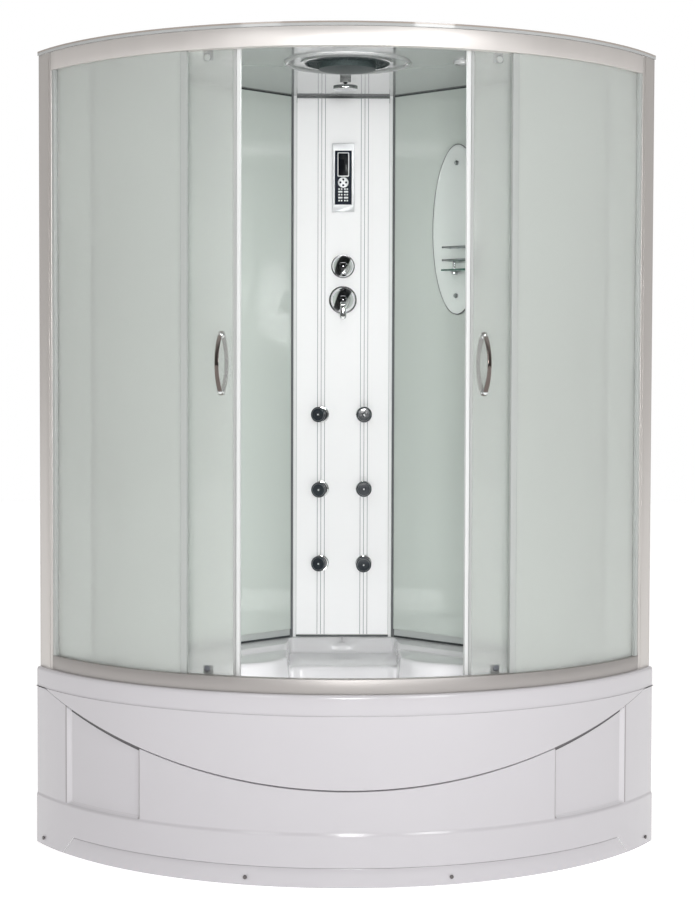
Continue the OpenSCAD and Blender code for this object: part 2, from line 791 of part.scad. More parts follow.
// Lever in the dome's slot, on its cross pin
module mixer_lever() color("silver") translate([0, face_y, mixer_z]) {
    difference() {
        union() {
            translate([-lever_w / 2, -44, -lever_drop]) cube([lever_w, 16, lever_drop + 2]);
            translate([-lever_w / 2, -50, -lever_l + lever_w / 2])
                cube([lever_w, 8, lever_l - lever_w / 2]);
            translate([0, -50, -lever_l + lever_w / 2]) rotate([-90, 0, 0])
                cylinder(r = lever_w / 2, h = 8);
        }
        translate([-lever_w, -53.5, -lever_l - eps]) cube([2 * lever_w, 5.5, lever_l - 16]);
        translate([-lever_w, lever_pin_y, lever_pin_z]) rotate([0, 90, 0])
            cylinder(r = lever_pin_r + 0.06, h = 2 * lever_w);
    }
}

module water_manifold() color("goldenrod") {
    for (s = [-1, 1]) translate([s * groove_x, manifold_y, jet_z - 30])
        cylinder(r = pipe_r, h = 2 * jet_pitch + 60);
    for (p = jets) translate([p[0], face_y, p[1]]) boss(6, face_y - manifold_y, -collar_back);
    translate([-groove_x, manifold_y, jet_z + 2 * jet_pitch + 30]) rotate([0, 90, 0])
        cylinder(r = pipe_r + 2, h = 2 * groove_x);
    translate([0, manifold_y, jet_z + 2 * jet_pitch + 30])
        cylinder(r = pipe_r, h = mixer_z - jet_z - 2 * jet_pitch - 30);
    for (z = [diverter_z, mixer_z]) translate([0, face_y, z]) {
        boss(22, face_y - manifold_y - 14, -column_t);
        boss(stem_r, -column_t - eps, 19);
    }
    translate([0, manifold_y, mixer_z]) cylinder(r = pipe_r, h = diverter_z - mixer_z);
    translate([0, manifold_y, diverter_z])
        cylinder(r = pipe_r - 1, h = pan_z + 10 - diverter_z);
    translate([0, manifold_y + 6, pan_z + 5.5]) rotate([90, 0, 0])
        cylinder(r = 5, h = manifold_y + 6 - rose_y + 5);
    translate([0, rose_y, ceiling_z + 0.5]) cylinder(r = 5, h = 10);
    translate([-inlet_x - 9, manifold_y, mixer_z]) rotate([0, 90, 0])
        cylinder(r = pipe_r + 4, h = 2 * inlet_x + 18);
    for (s = [-1, 1]) translate([s * inlet_x, manifold_y + inlet_l, mixer_z])
        rotate([90, 0, 0]) difference() {
        union() {
            cylinder(r = inlet_r, h = inlet_l);
            translate([0, 0, thread_l]) cylinder(r = 15, h = 9, $fn = 6);
        }
        translate([0, 0, -eps]) cylinder(r = inlet_r - 3, h = 40);
    }
}

// Collars with their spherical sockets, seated on the column's face
module jet_collars() color("silver") for (p = jets) translate([p[0], face_y, p[1]])
    rotate([90, 0, 0]) rotate_extrude() polygon(concat([
        [sqrt(pow(socket_r, 2) - pow(collar_out, 2)), collar_out],
        [collar_r - 2, collar_out], [collar_r, collar_out - 2], [collar_r, 0],
        [jet_r + 2.8, 0], [jet_r + 2.8, -socket_d], [9, -socket_d], [9, -collar_back], [0, -collar_back]
    ], [
        for (i = [0:11]) let (a = -90 + i * (90 + asin(collar_out / socket_r)) / 12)
            [socket_r * cos(a), socket_r * sin(a)]
    ]));

// Jet ball with its neck and wide face, standing at its own tilt
module jet_nozzle(i) {
    p = jets[i];
    translate([p[0], face_y, p[1]]) rotate([jet_tilts[i][0], 0, jet_tilts[i][1]])
        difference() {
            rotate([90, 0, 0]) rotate_extrude() polygon(concat([
                [0, face_out + face_t - 0.6], [jet_face_r - 4, face_out + face_t],
                [jet_face_r - 1, face_out + face_t - 0.8], [jet_face_r, face_out + face_t - 2.5],
                [jet_face_r, face_out + 1.5], [jet_face_r - 1.5, face_out], [neck_r, face_out]
            ], [
                for (i = [0:18]) let (a = acos(neck_r / jet_r) - i * (90 + acos(neck_r / jet_r)) / 18)
                    [jet_r * cos(a), jet_r * sin(a)]
            ]));
            boss(8, -jet_r - eps, -jet_r + 8);
            for (a = [0:60:300]) rotate([0, a, 0]) translate([8.5, 0, 0])
                boss(1.6, face_out + 3, face_out + face_t + eps);
            boss(2.4, face_out + 3, face_out + face_t + eps);
        }
}

module jet_nozzle_1() color("dimgray") jet_nozzle(0);
module jet_nozzle_2() color("dimgray") jet_nozzle(1);
module jet_nozzle_3() color("dimgray") jet_nozzle(2);
module jet_nozzle_4() color("dimgray") jet_nozzle(3);
module jet_nozzle_5() color("dimgray") jet_nozzle(4);
module jet_nozzle_6() color("dimgray") jet_nozzle(5);

// Frame on the right wall's face at the mirror's middle line, with -Y into the cabin
module on_mirror(z) {
    on_side() translate([column_u + mirror_u, -wall_in, z]) children();
}

module oval_mirror() color("lightblue") on_mirror(mirror_z) difference() {
    rotate([90, 0, 0]) translate([0, 0, mirror_gap]) linear_extrude(mirror_t)
        polygon([for (i = [0:71]) [mirror_w / 2 * cos(5 * i), mirror_h / 2 * sin(5 * i)]]);
    for (s = [-1, 1]) translate([0, 0, s * stud_z]) boss(4, 0, 20);
    for (s = [-1, 1])
        translate([shelf_side + s * gallery_post_x, 0, shelf_z - shelf_t - 6 - mirror_z])
            boss(4.3, 0, 20);
}

module mirror_studs() color("silver") for (s = [-1, 1]) on_mirror(mirror_z + s * stud_z) {
    boss(8, 0, mirror_gap);
    boss(3.8, 0, mirror_gap + mirror_t + eps);
    boss(stud_r, mirror_gap + mirror_t, mirror_gap + mirror_t + 6);
}

// Frame on the wall at the shelf's middle, with -Y into the cabin
module on_shelf(z) {
    on_mirror(z) translate([shelf_side, 0, 0]) children();
}

module shelf_glass() color("lightcyan", 0.5) on_shelf(shelf_z - shelf_t) difference() {
    translate([-shelf_w / 2, -shelf_out - shelf_d, 0]) cube([shelf_w, shelf_d, shelf_t]);
    for (s = [-1, 1]) translate([s * gallery_post_x, -shelf_out - gallery_in, -eps])
        cylinder(r = gallery_post_r + 0.3, h = shelf_t + 2 * eps);
}

// Two posts with rosettes on the wall carry the glass and two bent gallery rails round it;
// the left post ends at the lower rail
module shelf_rails() color("silver") on_shelf(shelf_z) {
    for (s = [-1, 1]) translate([s * gallery_post_x, 0, 0]) {
        translate([0, -shelf_out - gallery_in, -shelf_t - 6])
            cylinder(r = gallery_post_r + 4, h = 6);
        translate([0, -shelf_out - gallery_in, -shelf_t - eps])
            cylinder(r = gallery_post_r, h = rail_rise[s < 0 ? 0 : 1] + shelf_t + 5 + eps);
        translate([0, 0, -shelf_t - 6]) boss(4, 0, shelf_out + gallery_in - 2);
        translate([0, 0, -shelf_t - 6]) boss(10, 0, 3);
    }
    for (h = rail_rise) translate([0, -shelf_out - gallery_in, h]) {
        translate([-shelf_w / 2, 0, 0]) rotate([0, 90, 0]) cylinder(r = gallery_r, h = shelf_w);
        for (s = [-1, 1]) translate([s * shelf_w / 2, 0, 0]) {
            boss(gallery_r - 0.4, 0, shelf_d - 2 * gallery_in);
            sphere(r = gallery_r + 0.4);
            translate([0, 2 * gallery_in - shelf_d, 0]) sphere(r = gallery_r + 0.4);
        }
        translate([-shelf_w / 2, 2 * gallery_in - shelf_d, 0]) rotate([0, 90, 0])
            cylinder(r = gallery_r - 0.2, h = shelf_w);
    }
}

module roof() color("white") difference() {
    union() {
        slab(roof_in, 8, rail_top, cabin_h);
        slab(front_r - rail_in_r + eps, 8, ceiling_z, rail_top + eps);
        translate([0, grille_y, ceiling_z]) rotate_extrude($fn = 180)
            translate([ring_r, 0]) circle(r = 7, $fn = 48);
        translate([0, grille_y, ceiling_z - 5]) cylinder(r = lip_r + 4, h = 6);
        translate([0, rose_y, ceiling_z - 13]) cylinder(r = 16, h = 14);
    }
    slab(front_r - rail_in_r + roof_t + eps, 8 + roof_t, pan_z, cabin_h + eps);
    translate([0, grille_y, ceiling_z - 6]) cylinder(r = grille_r + 0.5, h = 30);
    translate([0, manifold_y, ceiling_z - eps]) cylinder(r = pipe_r + 1, h = 2 * roof_t);
    translate([0, rose_y, ceiling_z - 13 - eps]) cylinder(r = rose_socket_r - 0.4, h = 5);
    translate([0, rose_y, rose_ball_z]) sphere(r = rose_socket_r + 0.05);
    translate([0, rose_y, rose_ball_z]) cylinder(r = 5.2, h = 20);
}

module ring(r1, r2, z1, z2) {
    rotate_extrude() translate([r1, z1]) square([r2 - r1, z2 - z1]);
}

// Vent grille with its hanging middle disc
module ceiling_grille() color("darkslategray") translate([0, grille_y, ceiling_z]) {
    ring(grille_r - 5, grille_r, -6, roof_t);
    ring(disc_r - 4, disc_r + 1, -7, -2);
    for (r = [disc_r + 6 : 6 : grille_r - 9]) ring(r, r + 2, -5, -3);
    for (a = [0:15:345]) rotate([0, 0, a]) translate([disc_r - 2, -1.2, -6])
        cube([grille_r - disc_r, 2.4, 4]);
    translate([0, 0, -disc_drop]) difference() {
        union() {
            cylinder(r = disc_r, h = disc_drop - 5);
            mirror([0, 0, 1]) rotate_extrude() polygon(concat([[0, -1]], dome_points(disc_r, 0, 6)));
        }
        translate([0, 0, 3]) cylinder(r = disc_r - 3, h = disc_drop);
    }
}

module ceiling_lamps() color("whitesmoke") both() translate([lamp_x, lamp_y, ceiling_z]) {
    translate([0, 0, -lamp_h]) difference() {
        cylinder(r = lamp_r, h = lamp_h);
        translate([0, 0, -eps]) cylinder(r = lamp_r - 3, h = 4 + eps);
    }
    translate([0, 0, 4 - lamp_h]) mirror([0, 0, 1])
        rotate_extrude() polygon(concat([[0, -1]], dome_points(lamp_r - 4, 0, 5)));
}

// Fan carrier standing in the grille's disc, with the rotor's fixed pin
module fan_housing() color("black") translate([0, grille_y, 0]) {
    translate([0, 0, disc_z + 3]) cylinder(r = 12, h = fan_z - disc_z - 3);
    translate([0, 0, fan_z]) difference() {
        cylinder(r = shroud_r, h = 3);
        for (a = [0:90:270]) rotate([0, 0, a]) translate([shroud_r * 0.6, 0, -eps])
            cylinder(r = 12, h = 5);
    }
    translate([0, 0, fan_z]) ring(shroud_r - 2, shroud_r, 0, cabin_h - 3 - fan_z);
    translate([0, 0, fan_z]) cylinder(r = axle_r, h = cabin_h - 4 - fan_z);
}

module fan_rotor() color("dimgray") translate([0, grille_y, fan_z + 4]) difference() {
    union() {
        cylinder(r = 16, h = cabin_h - 6 - fan_z - 4);
        for (a = [0:60:300]) rotate([0, 0, a]) translate([14, 0, 8]) rotate([35, 0, 0])
            cube([rotor_r - 14 - 1, 14, 1.6], center = false);
    }
    translate([0, 0, -eps]) cylinder(r = axle_r + axle_gap, h = 40);
    translate([0, 0, cabin_h - 6 - fan_z - 4]) cylinder(r = rotor_r + 2, h = 20);
}

module rain_head() color("silver") translate([0, rose_y, rose_ball_z]) difference() {
    union() {
        sphere(r = rose_socket_r);
        translate([0, 0, -14]) cylinder(r = 4, h = 12);
        translate([0, 0, -13 - rose_h]) cylinder(r = rose_r, h = rose_h);
        translate([0, 0, -14]) cylinder(r = 9, h = 3);
    }
    for (r = [8, 16, 24]) for (a = [0:360 / (r * 0.75):359]) rotate([0, 0, a])
        translate([r, 0, -14 - rose_h]) cylinder(r = 1, h = 4);
}

// Turns a right-hand door to its opening angle
module at_door(open) {
    translate([0, arc_y, 0]) rotate([0, 0, open + closed_gap]) translate([0, -arc_y, 0]) children();
}

module door_glass() difference() {
    band(door_bore_r, door_r, 0.4, door_span - 0.3, door_z1, door_z2);
    for (a = roller_at) for (z = [bottom_bolt_z, top_bolt_z]) on_arc(0, a, z)
        boss(bolt_r + 0.3, door_bore_r - 5, door_r + 5);
    for (s = [-1, 1]) on_arc(0, handle_a, handle_z + s * handle_bolt)
        boss(bolt_r + 0.3, door_bore_r - 5, door_r + 5);
}

// Magnetic profile on the leading edge and a fin seal on the trailing edge
module door_seals() {
    difference() {
        band(door_bore_r - 2.5, door_r + 2.5, 0, lead_seal_a, seal_z1, seal_z2);
        band(door_slot_r1, door_slot_r2, 0.38, lead_seal_a + eps, seal_z1 - eps, seal_z2 + eps);
    }
    difference() {
        band(door_bore_r - 2, door_r + 3, door_span - trail_seal_a, door_span, seal_z1, seal_z2);
        band(door_slot_r1, door_slot_r2, door_span - 2, door_span - 0.28, seal_z1 - eps,
            seal_z2 + eps);
    }
}

// Flat bar bent to an arc, standing off the glass towards -Y
module bow() intersection() {
    translate([0, bow_r - handle_out, 0]) rotate([0, 90, 0]) rotate([0, 0, -93 - bow_a])
        rotate_extrude(angle = 2 * bow_a + 6, $fn = 180) translate([bow_r - bar_t / 2, -bar_w / 2])
            square([bar_t, bar_w]);
    translate([-bar_w, -2 * handle_out, -handle_l]) cube([2 * bar_w, 2 * handle_out, 2 * handle_l]);
}

// One bow outside the glass and one inside, bolted together through it
module handle() {
    on_arc(door_r + 0.2, handle_a, handle_z) {
        bow();
        for (s = [-1, 1]) translate([0, 0, s * handle_bolt]) {
            boss(bar_w / 2 - 0.5, 0, 8);
            boss(bolt_r, -glass_t - 1, eps);
        }
    }
    on_arc(door_bore_r - 0.2, handle_a, handle_z) rotate([0, 0, 180]) {
        bow();
        for (s = [-1, 1]) translate([0, 0, s * handle_bolt]) boss(bar_w / 2 - 0.5, 0, 8);
    }
}

// Bracket plate from the bolt to the wheel's axle, clear of the rail's lips
module bracket(a, bolt_z, wheel_z) {
    z1 = min(bolt_z, wheel_z);
    z2 = max(bolt_z, wheel_z);
    on_arc(door_bore_r - 0.3, a, 0) {
        translate([-bracket_w / 2, 0, z1 - 8]) cube([bracket_w, bracket_t, z2 - z1 + 16]);
        translate([0, 0, bolt_z]) boss(bolt_r, -bracket_t, glass_t + 1);
        translate([0, 0, bolt_z]) boss(8, glass_t + 0.6, glass_t + 3);
    }
    on_arc(0, a, wheel_z) {
        boss(axle_r, wheel_in_r - 2.5, door_bore_r - bracket_t + 1);
        boss(axle_r + 1.6, wheel_in_r - 2.5, wheel_in_r - 0.5);
    }
}

module roller_brackets() {
    for (a = roller_at) {
        bracket(a, bottom_bolt_z, bottom_wheel_z);
        bracket(a, top_bolt_z, top_wheel_z);
    }
}

// Grooved wheel on its radial axle
module wheel(a, z) {
    w = wheel_w / 2;
    g = bead_w / 2 + 0.5;
    on_arc(bead_r, a, z) rotate([90, 0, 0]) rotate_extrude() polygon([
        [axle_r + axle_gap, -w], [wheel_r, -w], [wheel_r, -g], [wheel_root_r, -g],
        [wheel_root_r, g], [wheel_r, g], [wheel_r, w], [axle_r + axle_gap, w]
    ]);
}

module right_door_glass() color("lightcyan", 0.5) at_door(right_open) door_glass();
module right_door_seals() color("whitesmoke") at_door(right_open) door_seals();
module right_handle() color("silver") at_door(right_open) handle();
module right_roller_brackets() color("silver") at_door(right_open) roller_brackets();
module right_wheel_1() color("dimgray") at_door(right_open) wheel(roller_at[0], bottom_wheel_z);
module right_wheel_2() color("dimgray") at_door(right_open) wheel(roller_at[1], bottom_wheel_z);
module right_wheel_3() color("dimgray") at_door(right_open) wheel(roller_at[0], top_wheel_z);
module right_wheel_4() color("dimgray") at_door(right_open) wheel(roller_at[1], top_wheel_z);

module left_door_glass() color("lightcyan", 0.5) left() at_door(left_open) door_glass();
module left_door_seals() color("whitesmoke") left() at_door(left_open) door_seals();
module left_handle() color("silver") left() at_door(left_open) handle();
module left_roller_brackets() color("silver") left() at_door(left_open) roller_brackets();
module left_wheel_1() color("dimgray") left() at_door(left_open) wheel(roller_at[0], bottom_wheel_z);
module left_wheel_2() color("dimgray") left() at_door(left_open) wheel(roller_at[1], bottom_wheel_z);
module left_wheel_3() color("dimgray") left() at_door(left_open) wheel(roller_at[0], top_wheel_z);
module left_wheel_4() color("dimgray") left() at_door(left_open) wheel(roller_at[1], top_wheel_z);

tub();
tub_frame();
levelling_feet();
apron();
kick_panel();
apron_screws();
drain_cover();
drain_trap();
bottom_rail();
top_rail();
left_post();
right_post();
left_fixed_glass();
right_fixed_glass();
fixed_glass_seals();
left_wall();
right_wall();
wall_trims();
column();
control_bezel();
control_panel();
nav_button();
knob_roses();
diverter_knob();
mixer_dome();
mixer_lever();
water_manifold();
jet_collars();
jet_nozzle_1();
jet_nozzle_2();
jet_nozzle_3();
jet_nozzle_4();
jet_nozzle_5();
jet_nozzle_6();
oval_mirror();
mirror_studs();
shelf_glass();
shelf_rails();
roof();
ceiling_grille();
ceiling_lamps();
fan_housing();
fan_rotor();
rain_head();
left_door_glass();
left_door_seals();
left_handle();
left_roller_brackets();
left_wheel_1();
left_wheel_2();
left_wheel_3();
left_wheel_4();
right_door_glass();
right_door_seals();
right_handle();
right_roller_brackets();
right_wheel_1();
right_wheel_2();
right_wheel_3();
right_wheel_4();
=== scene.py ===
import math

import bmesh
import bpy
from mathutils import Matrix, Vector


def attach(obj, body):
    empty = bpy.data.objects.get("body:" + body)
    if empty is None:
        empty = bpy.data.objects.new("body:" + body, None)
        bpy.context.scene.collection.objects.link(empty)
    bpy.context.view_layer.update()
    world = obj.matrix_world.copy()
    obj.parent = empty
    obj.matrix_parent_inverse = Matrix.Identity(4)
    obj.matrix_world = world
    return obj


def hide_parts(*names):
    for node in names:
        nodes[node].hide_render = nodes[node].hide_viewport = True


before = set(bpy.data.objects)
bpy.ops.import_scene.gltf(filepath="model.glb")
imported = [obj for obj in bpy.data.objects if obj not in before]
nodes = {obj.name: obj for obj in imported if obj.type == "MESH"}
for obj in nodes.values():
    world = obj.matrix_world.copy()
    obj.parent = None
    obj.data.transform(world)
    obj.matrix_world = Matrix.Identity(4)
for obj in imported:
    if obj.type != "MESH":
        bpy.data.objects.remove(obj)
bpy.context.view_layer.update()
scene = bpy.context.scene
scene.view_settings.view_transform = "Standard"

# Sizes repeated from the CAD model; names that end in _A are angles in degrees
MM = 0.001
ARC_Y = 303.353 * MM
REAR_Y = 671.647 * MM
FRONT_R = 975 * MM
APRON_A = 60.49
APRON_TOP = 431 * MM
RIM_Z = 484 * MM
DECK_Z = 474 * MM
CEILING_Z = 2133 * MM
ROOF_TOP = 2150 * MM
FACE_Y = 489.686 * MM
DOOR_R = 931 * MM
DOOR_BORE_R = 926 * MM
LEFT_OPEN_A = 17.13
RIGHT_OPEN_A = 18.33

# Camera, at the photograph's viewing angle
CAMERA_AT = Vector((-0.09551, -5.3948, 1.27729))
CAMERA_YAW = 0.0189
CAMERA_PITCH = 0.0398
CAMERA_ROLL = 0.0031
FOCAL_PX = 1912.94
LONG_SIDE_PX = 905
SENSOR_W = 36
VIEW_REACH = 60


def make_camera():
    data = bpy.data.cameras.new("camera")
    data.sensor_width = SENSOR_W
    data.lens = FOCAL_PX / LONG_SIDE_PX * data.sensor_width
    data.clip_end = VIEW_REACH
    camera = bpy.data.objects.new("camera", data)
    scene.collection.objects.link(camera)
    ahead = Vector((
        math.sin(CAMERA_YAW) * math.cos(CAMERA_PITCH),
        math.cos(CAMERA_YAW) * math.cos(CAMERA_PITCH),
        -math.sin(CAMERA_PITCH),
    ))
    right = Vector((math.cos(CAMERA_YAW), -math.sin(CAMERA_YAW), 0))
    up = right.cross(ahead)
    rolled_right = right * math.cos(CAMERA_ROLL) + up * math.sin(CAMERA_ROLL)
    rolled_up = up * math.cos(CAMERA_ROLL) - right * math.sin(CAMERA_ROLL)
    turn = Matrix((rolled_right, rolled_up, -ahead)).transposed()
    camera.matrix_world = Matrix.Translation(CAMERA_AT) @ turn.to_4x4()
    scene.camera = camera


make_camera()


# Materials
COAT_GLOSS = 0.03
DULL_COAT_GLOSS = 0.25
BROAD_DETAIL = 4
FINE_DETAIL = 3
BUMP_DEPTH = 1 * MM


def material(name, color, rough=0.35, metal=0.0, coat=0.0, through=0.0, spread=0.03,
             scale=6.0, bump=0.0, bump_scale=60.0, stretch=(1, 1, 1), rough_spread=0.05, ior=1.45):
    """Shader with colour and roughness that vary gently over the surface, and a fine bump."""
    made = bpy.data.materials.new(name)
    made.use_nodes = True
    tree = made.node_tree
    shader = tree.nodes["Principled BSDF"]
    plain = {"Metallic": metal, "Coat Weight": coat, "Coat Roughness": COAT_GLOSS,
             "Transmission Weight": through, "IOR": ior}
    for name_of_input, value in plain.items():
        shader.inputs[name_of_input].default_value = value
    place = tree.nodes.new("ShaderNodeTexCoord")
    shape = tree.nodes.new("ShaderNodeMapping")
    shape.inputs["Scale"].default_value = stretch
    tree.links.new(place.outputs["Object"], shape.inputs["Vector"])
    broad = tree.nodes.new("ShaderNodeTexNoise")
    broad.inputs["Scale"].default_value = scale
    broad.inputs["Detail"].default_value = BROAD_DETAIL
    tree.links.new(shape.outputs["Vector"], broad.inputs["Vector"])
    tone = tree.nodes.new("ShaderNodeMix")
    tone.data_type = "RGBA"
    tone.inputs["A"].default_value = (*[c * (1 - spread) for c in color], 1)
    tone.inputs["B"].default_value = (*[min(1, c * (1 + spread)) for c in color], 1)
    tree.links.new(broad.outputs["Fac"], tone.inputs["Factor"])
    tree.links.new(tone.outputs["Result"], shader.inputs["Base Color"])
    gloss = tree.nodes.new("ShaderNodeMapRange")
    gloss.inputs["To Min"].default_value = max(0.0, rough - rough_spread)
    gloss.inputs["To Max"].default_value = rough + rough_spread
    tree.links.new(broad.outputs["Fac"], gloss.inputs["Value"])
    tree.links.new(gloss.outputs["Result"], shader.inputs["Roughness"])
    if bump:
        fine = tree.nodes.new("ShaderNodeTexNoise")
        fine.inputs["Scale"].default_value = bump_scale
        fine.inputs["Detail"].default_value = FINE_DETAIL
        tree.links.new(shape.outputs["Vector"], fine.inputs["Vector"])
        relief = tree.nodes.new("ShaderNodeBump")
        relief.inputs["Strength"].default_value = bump
        relief.inputs["Distance"].default_value = BUMP_DEPTH
        tree.links.new(fine.outputs["Fac"], relief.inputs["Height"])
        tree.links.new(relief.outputs["Normal"], shader.inputs["Normal"])
    return made


def dull_coat(look):
    """A coat with a softer gleam than polished acrylic."""
    look.node_tree.nodes["Principled BSDF"].inputs["Coat Roughness"].default_value = DULL_COAT_GLOSS


# Surface grain shared by several looks
SOFT_WAVE = {"bump": 0.03, "bump_scale": 7, "scale": 2}
BRUSHED = {"bump": 0.05, "bump_scale": 900, "stretch": (1, 1, 0.02), "scale": 20}
ETCHED = {"coat": 0.35, "ior": 1.3, "spread": 0.02, "scale": 3, "bump": 0.03, "bump_scale": 1200}
EVEN = {"spread": 0.01, "rough_spread": 0.01}

# Looks. Frosted ones keep their whole roughness range on one side of 0.27, which keeps them smooth.
ACRYLIC = material("acrylic", (0.66, 0.655, 0.67), 0.12, coat=0.5, bump=0.02, bump_scale=9, scale=2)
APRON = material("apron_acrylic", (0.53, 0.515, 0.54), 0.16, coat=0.6, **SOFT_WAVE)
# Darker and lighter copies of the apron's acrylic: painted shade and painted light on the recess bevels
APRON_PAINTED_SHADE = material("apron_painted_shade", (0.32, 0.30, 0.31), 0.3, coat=0.3, **SOFT_WAVE)
APRON_PAINTED_LIGHT = material("apron_bevel_painted_light", (0.61, 0.595, 0.62), 0.2, coat=0.5, **SOFT_WAVE)
CEILING = material("ceiling_acrylic", (0.42, 0.43, 0.43), 0.09, coat=0.6, bump=0.02, bump_scale=8, scale=2)
RAIL = material("rail_aluminium", (0.71, 0.68, 0.66), 0.45, metal=0.8, **BRUSHED)
LOW_RAIL = material("low_rail_aluminium", (0.39, 0.37, 0.36), 0.45, metal=0.8, **BRUSHED)
POST = material("post_aluminium", (0.60, 0.575, 0.555), 0.42, metal=0.9, **BRUSHED)
CHROME = material("chrome", (0.74, 0.745, 0.75), 0.05, metal=1, spread=0.02, rough_spread=0.01)
# Darker handle chrome whose wide tone spread stands in for reflection; painted reflection patches and a
# painted edge highlight are laid on below
PAINTED_REFLECTION_GRIP = material("grip_chrome_painted_reflection", (0.36, 0.325, 0.305), 0.07, metal=1, coat=0.5, spread=0.25, scale=40,
                stretch=(1, 1, 0.5), rough_spread=0.02)
# Near-black chrome that gets painted bright reflection patches further down
PAINTED_REFLECTION_DOME = material("dome_chrome_painted_reflection", (0.05, 0.05, 0.052), 0.05, metal=1, rough_spread=0.01)
DARK_CHROME = material("shaded_chrome", (0.20, 0.20, 0.205), 0.1, metal=1)
FROSTED = material("frosted_glass", (0.79, 0.82, 0.795), 0.35, through=0.62, **ETCHED)
DOOR_FROST = material("frosted_door_glass", (0.85, 0.87, 0.85), 0.21, through=0.77, rough_spread=0.03,
                      **ETCHED)
SHELF = material("shelf_glass", (0.16, 0.36, 0.30), 0.05, through=0.9, **EVEN)
WALL = material("wall_panel", (0.57, 0.62, 0.585), 0.07, coat=0.6, spread=0.02, scale=2,
                bump=0.02, bump_scale=5)
TRIM = material("trim_plastic", (0.47, 0.495, 0.485), 0.4)
SEAL = material("seal_plastic", (0.46, 0.47, 0.465), 0.36, through=0.15)
COLUMN = material("column_coat", (0.94, 0.94, 0.95), 0.36, spread=0.015, scale=3)
SILVER = material("silver_plastic", (0.66, 0.67, 0.685), 0.36, metal=0.2)
DARK = material("dark_panel", (0.012, 0.016, 0.028), 0.36, ior=1.18)
SCREEN = material("screen", (0.004, 0.005, 0.008), 0.2, ior=1.15)
KEYS = material("key_print", (0.75, 0.77, 0.78), 0.35)
SEAL_WHITE = material("seal_magnet", (0.66, 0.67, 0.67), 0.36)
BRACKET = material("bracket_steel", (0.17, 0.18, 0.20), 0.35, metal=0.8)
EDGE_SEAL = material("glass_edge_seal", (0.55, 0.575, 0.56), 0.36, through=0.3)
SCREW = material("screw_steel", (0.16, 0.15, 0.15), 0.35, metal=1)
# Painted shadow for the apron's crease under its upper field; also the mirror's dark rim
PAINTED_SHADOW_AND_DARK_RIM = material("painted_shadow_and_dark_rim", (0.13, 0.125, 0.13), 0.6)
ROSE = material("rose_chrome", (0.42, 0.43, 0.44), 0.08, metal=1, spread=0.02, rough_spread=0.02)
JET = material("jet_face", (0.018, 0.024, 0.032), 0.2, coat=0.5)
GRILLE = material("grille_plastic", (0.045, 0.06, 0.06), 0.4, spread=0.95, scale=380, bump=0.4,
                  bump_scale=300, ior=1.2)
DISC = material("disc_plastic", (0.20, 0.21, 0.215), 0.5, bump=0.2, bump_scale=500)
MIRROR = material("mirror_silver", (0.93, 0.96, 0.95), 0.02, metal=0.5, **EVEN)
LAMP = material("lamp_diffuser", (0.60, 0.61, 0.61), 0.15, through=0.1, coat=0.4)
BRASS = material("brass", (0.55, 0.41, 0.18), 0.35, metal=1, bump=0.1, bump_scale=300)
STEEL = material("zinc_steel", (0.52, 0.53, 0.54), 0.35, metal=1, bump=0.05, bump_scale=400)
PAINT = material("frame_paint", (0.16, 0.165, 0.17), 0.5, bump=0.1, bump_scale=500)
PIPE = material("grey_pipe", (0.40, 0.41, 0.42), 0.5)
NYLON = material("nylon", (0.62, 0.62, 0.60), 0.45)
RUBBER = material("shaft_plastic", (0.05, 0.05, 0.055), 0.5)


# Mesh helpers
SQUARE = ((-1, -1), (1, -1), (1, 1), (-1, 1))


def smooth(piece, angle=35):
    """Smooth shading, with edges sharper than an angle in degrees kept crisp."""
    mesh = piece.data
    mesh.polygons.foreach_set("use_smooth", [True] * len(mesh.polygons))
    mesh.set_sharp_from_angle(angle=math.radians(angle))


def add_mesh(name, points, faces, look, body="cabin", merge=0.00002, angle=35):
    """One object from points and faces, with its faces turned outwards."""
    mesh = bpy.data.meshes.new(name)
    mesh.from_pydata([tuple(p) for p in points], [], faces)
    work = bmesh.new()
    work.from_mesh(mesh)
    bmesh.ops.remove_doubles(work, verts=work.verts, dist=merge)
    bmesh.ops.recalc_face_normals(work, faces=work.faces)
    work.to_mesh(mesh)
    work.free()
    mesh.materials.append(look)
    piece = bpy.data.objects.new(name, mesh)
    scene.collection.objects.link(piece)
    smooth(piece, angle)
    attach(piece, body)
    return piece


def join(name, pieces, body="cabin"):
    """Merges finished pieces into one object that rides on one body."""
    bpy.ops.object.select_all(action="DESELECT")
    for piece in pieces:
        at = piece.matrix_world.copy()
        piece.parent = None
        piece.matrix_world = at
        piece.select_set(True)
    bpy.context.view_layer.objects.active = pieces[0]
    bpy.ops.object.join()
    made = bpy.context.view_layer.objects.active
    made.name = name
    made.data.name = name
    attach(made, body)
    return made


def grid_faces(rows, columns, closed=False):
    """Quads between rows of equal length. With closed, each row's end joins its start."""
    faces = []
    span = columns if closed else columns - 1
    for row in range(rows - 1):
        here, over = row * columns, (row + 1) * columns
        for col in range(span):
            after = (col + 1) % columns
            faces.append((here + col, here + after, over + after, over + col))
    return faces


def tube_faces(rows, size):
    """Quads round a tube of closed rows, and a face over each of its ends."""
    ends = [tuple(range(size)), tuple(range((rows - 1) * size, rows * size))]
    return grid_faces(rows, size, closed=True) + ends


def arc_point(radius, degrees, z):
    """Point at a radius and an angle round the front's centre."""
    turn = math.radians(degrees)
    return (radius * math.sin(turn), ARC_Y - radius * math.cos(turn), z)


SIDE_SHARE = 0.45


def rounded(corners, radius, steps=4):
    """Outline with each corner rounded by up to this radius."""
    out = []
    size = len(corners)
    for i, here in enumerate(corners):
        here = Vector(here)
        before = Vector(corners[i - 1]) - here
        after = Vector(corners[(i + 1) % size]) - here
        cut = min(radius, before.length * SIDE_SHARE, after.length * SIDE_SHARE)
        first = here + before.normalized() * cut
        last = here + after.normalized() * cut
        for k in range(steps + 1):
            t = k / steps
            out.append(tuple(first * (1 - t) ** 2 + here * 2 * t * (1 - t) + last * t ** 2))
    return out


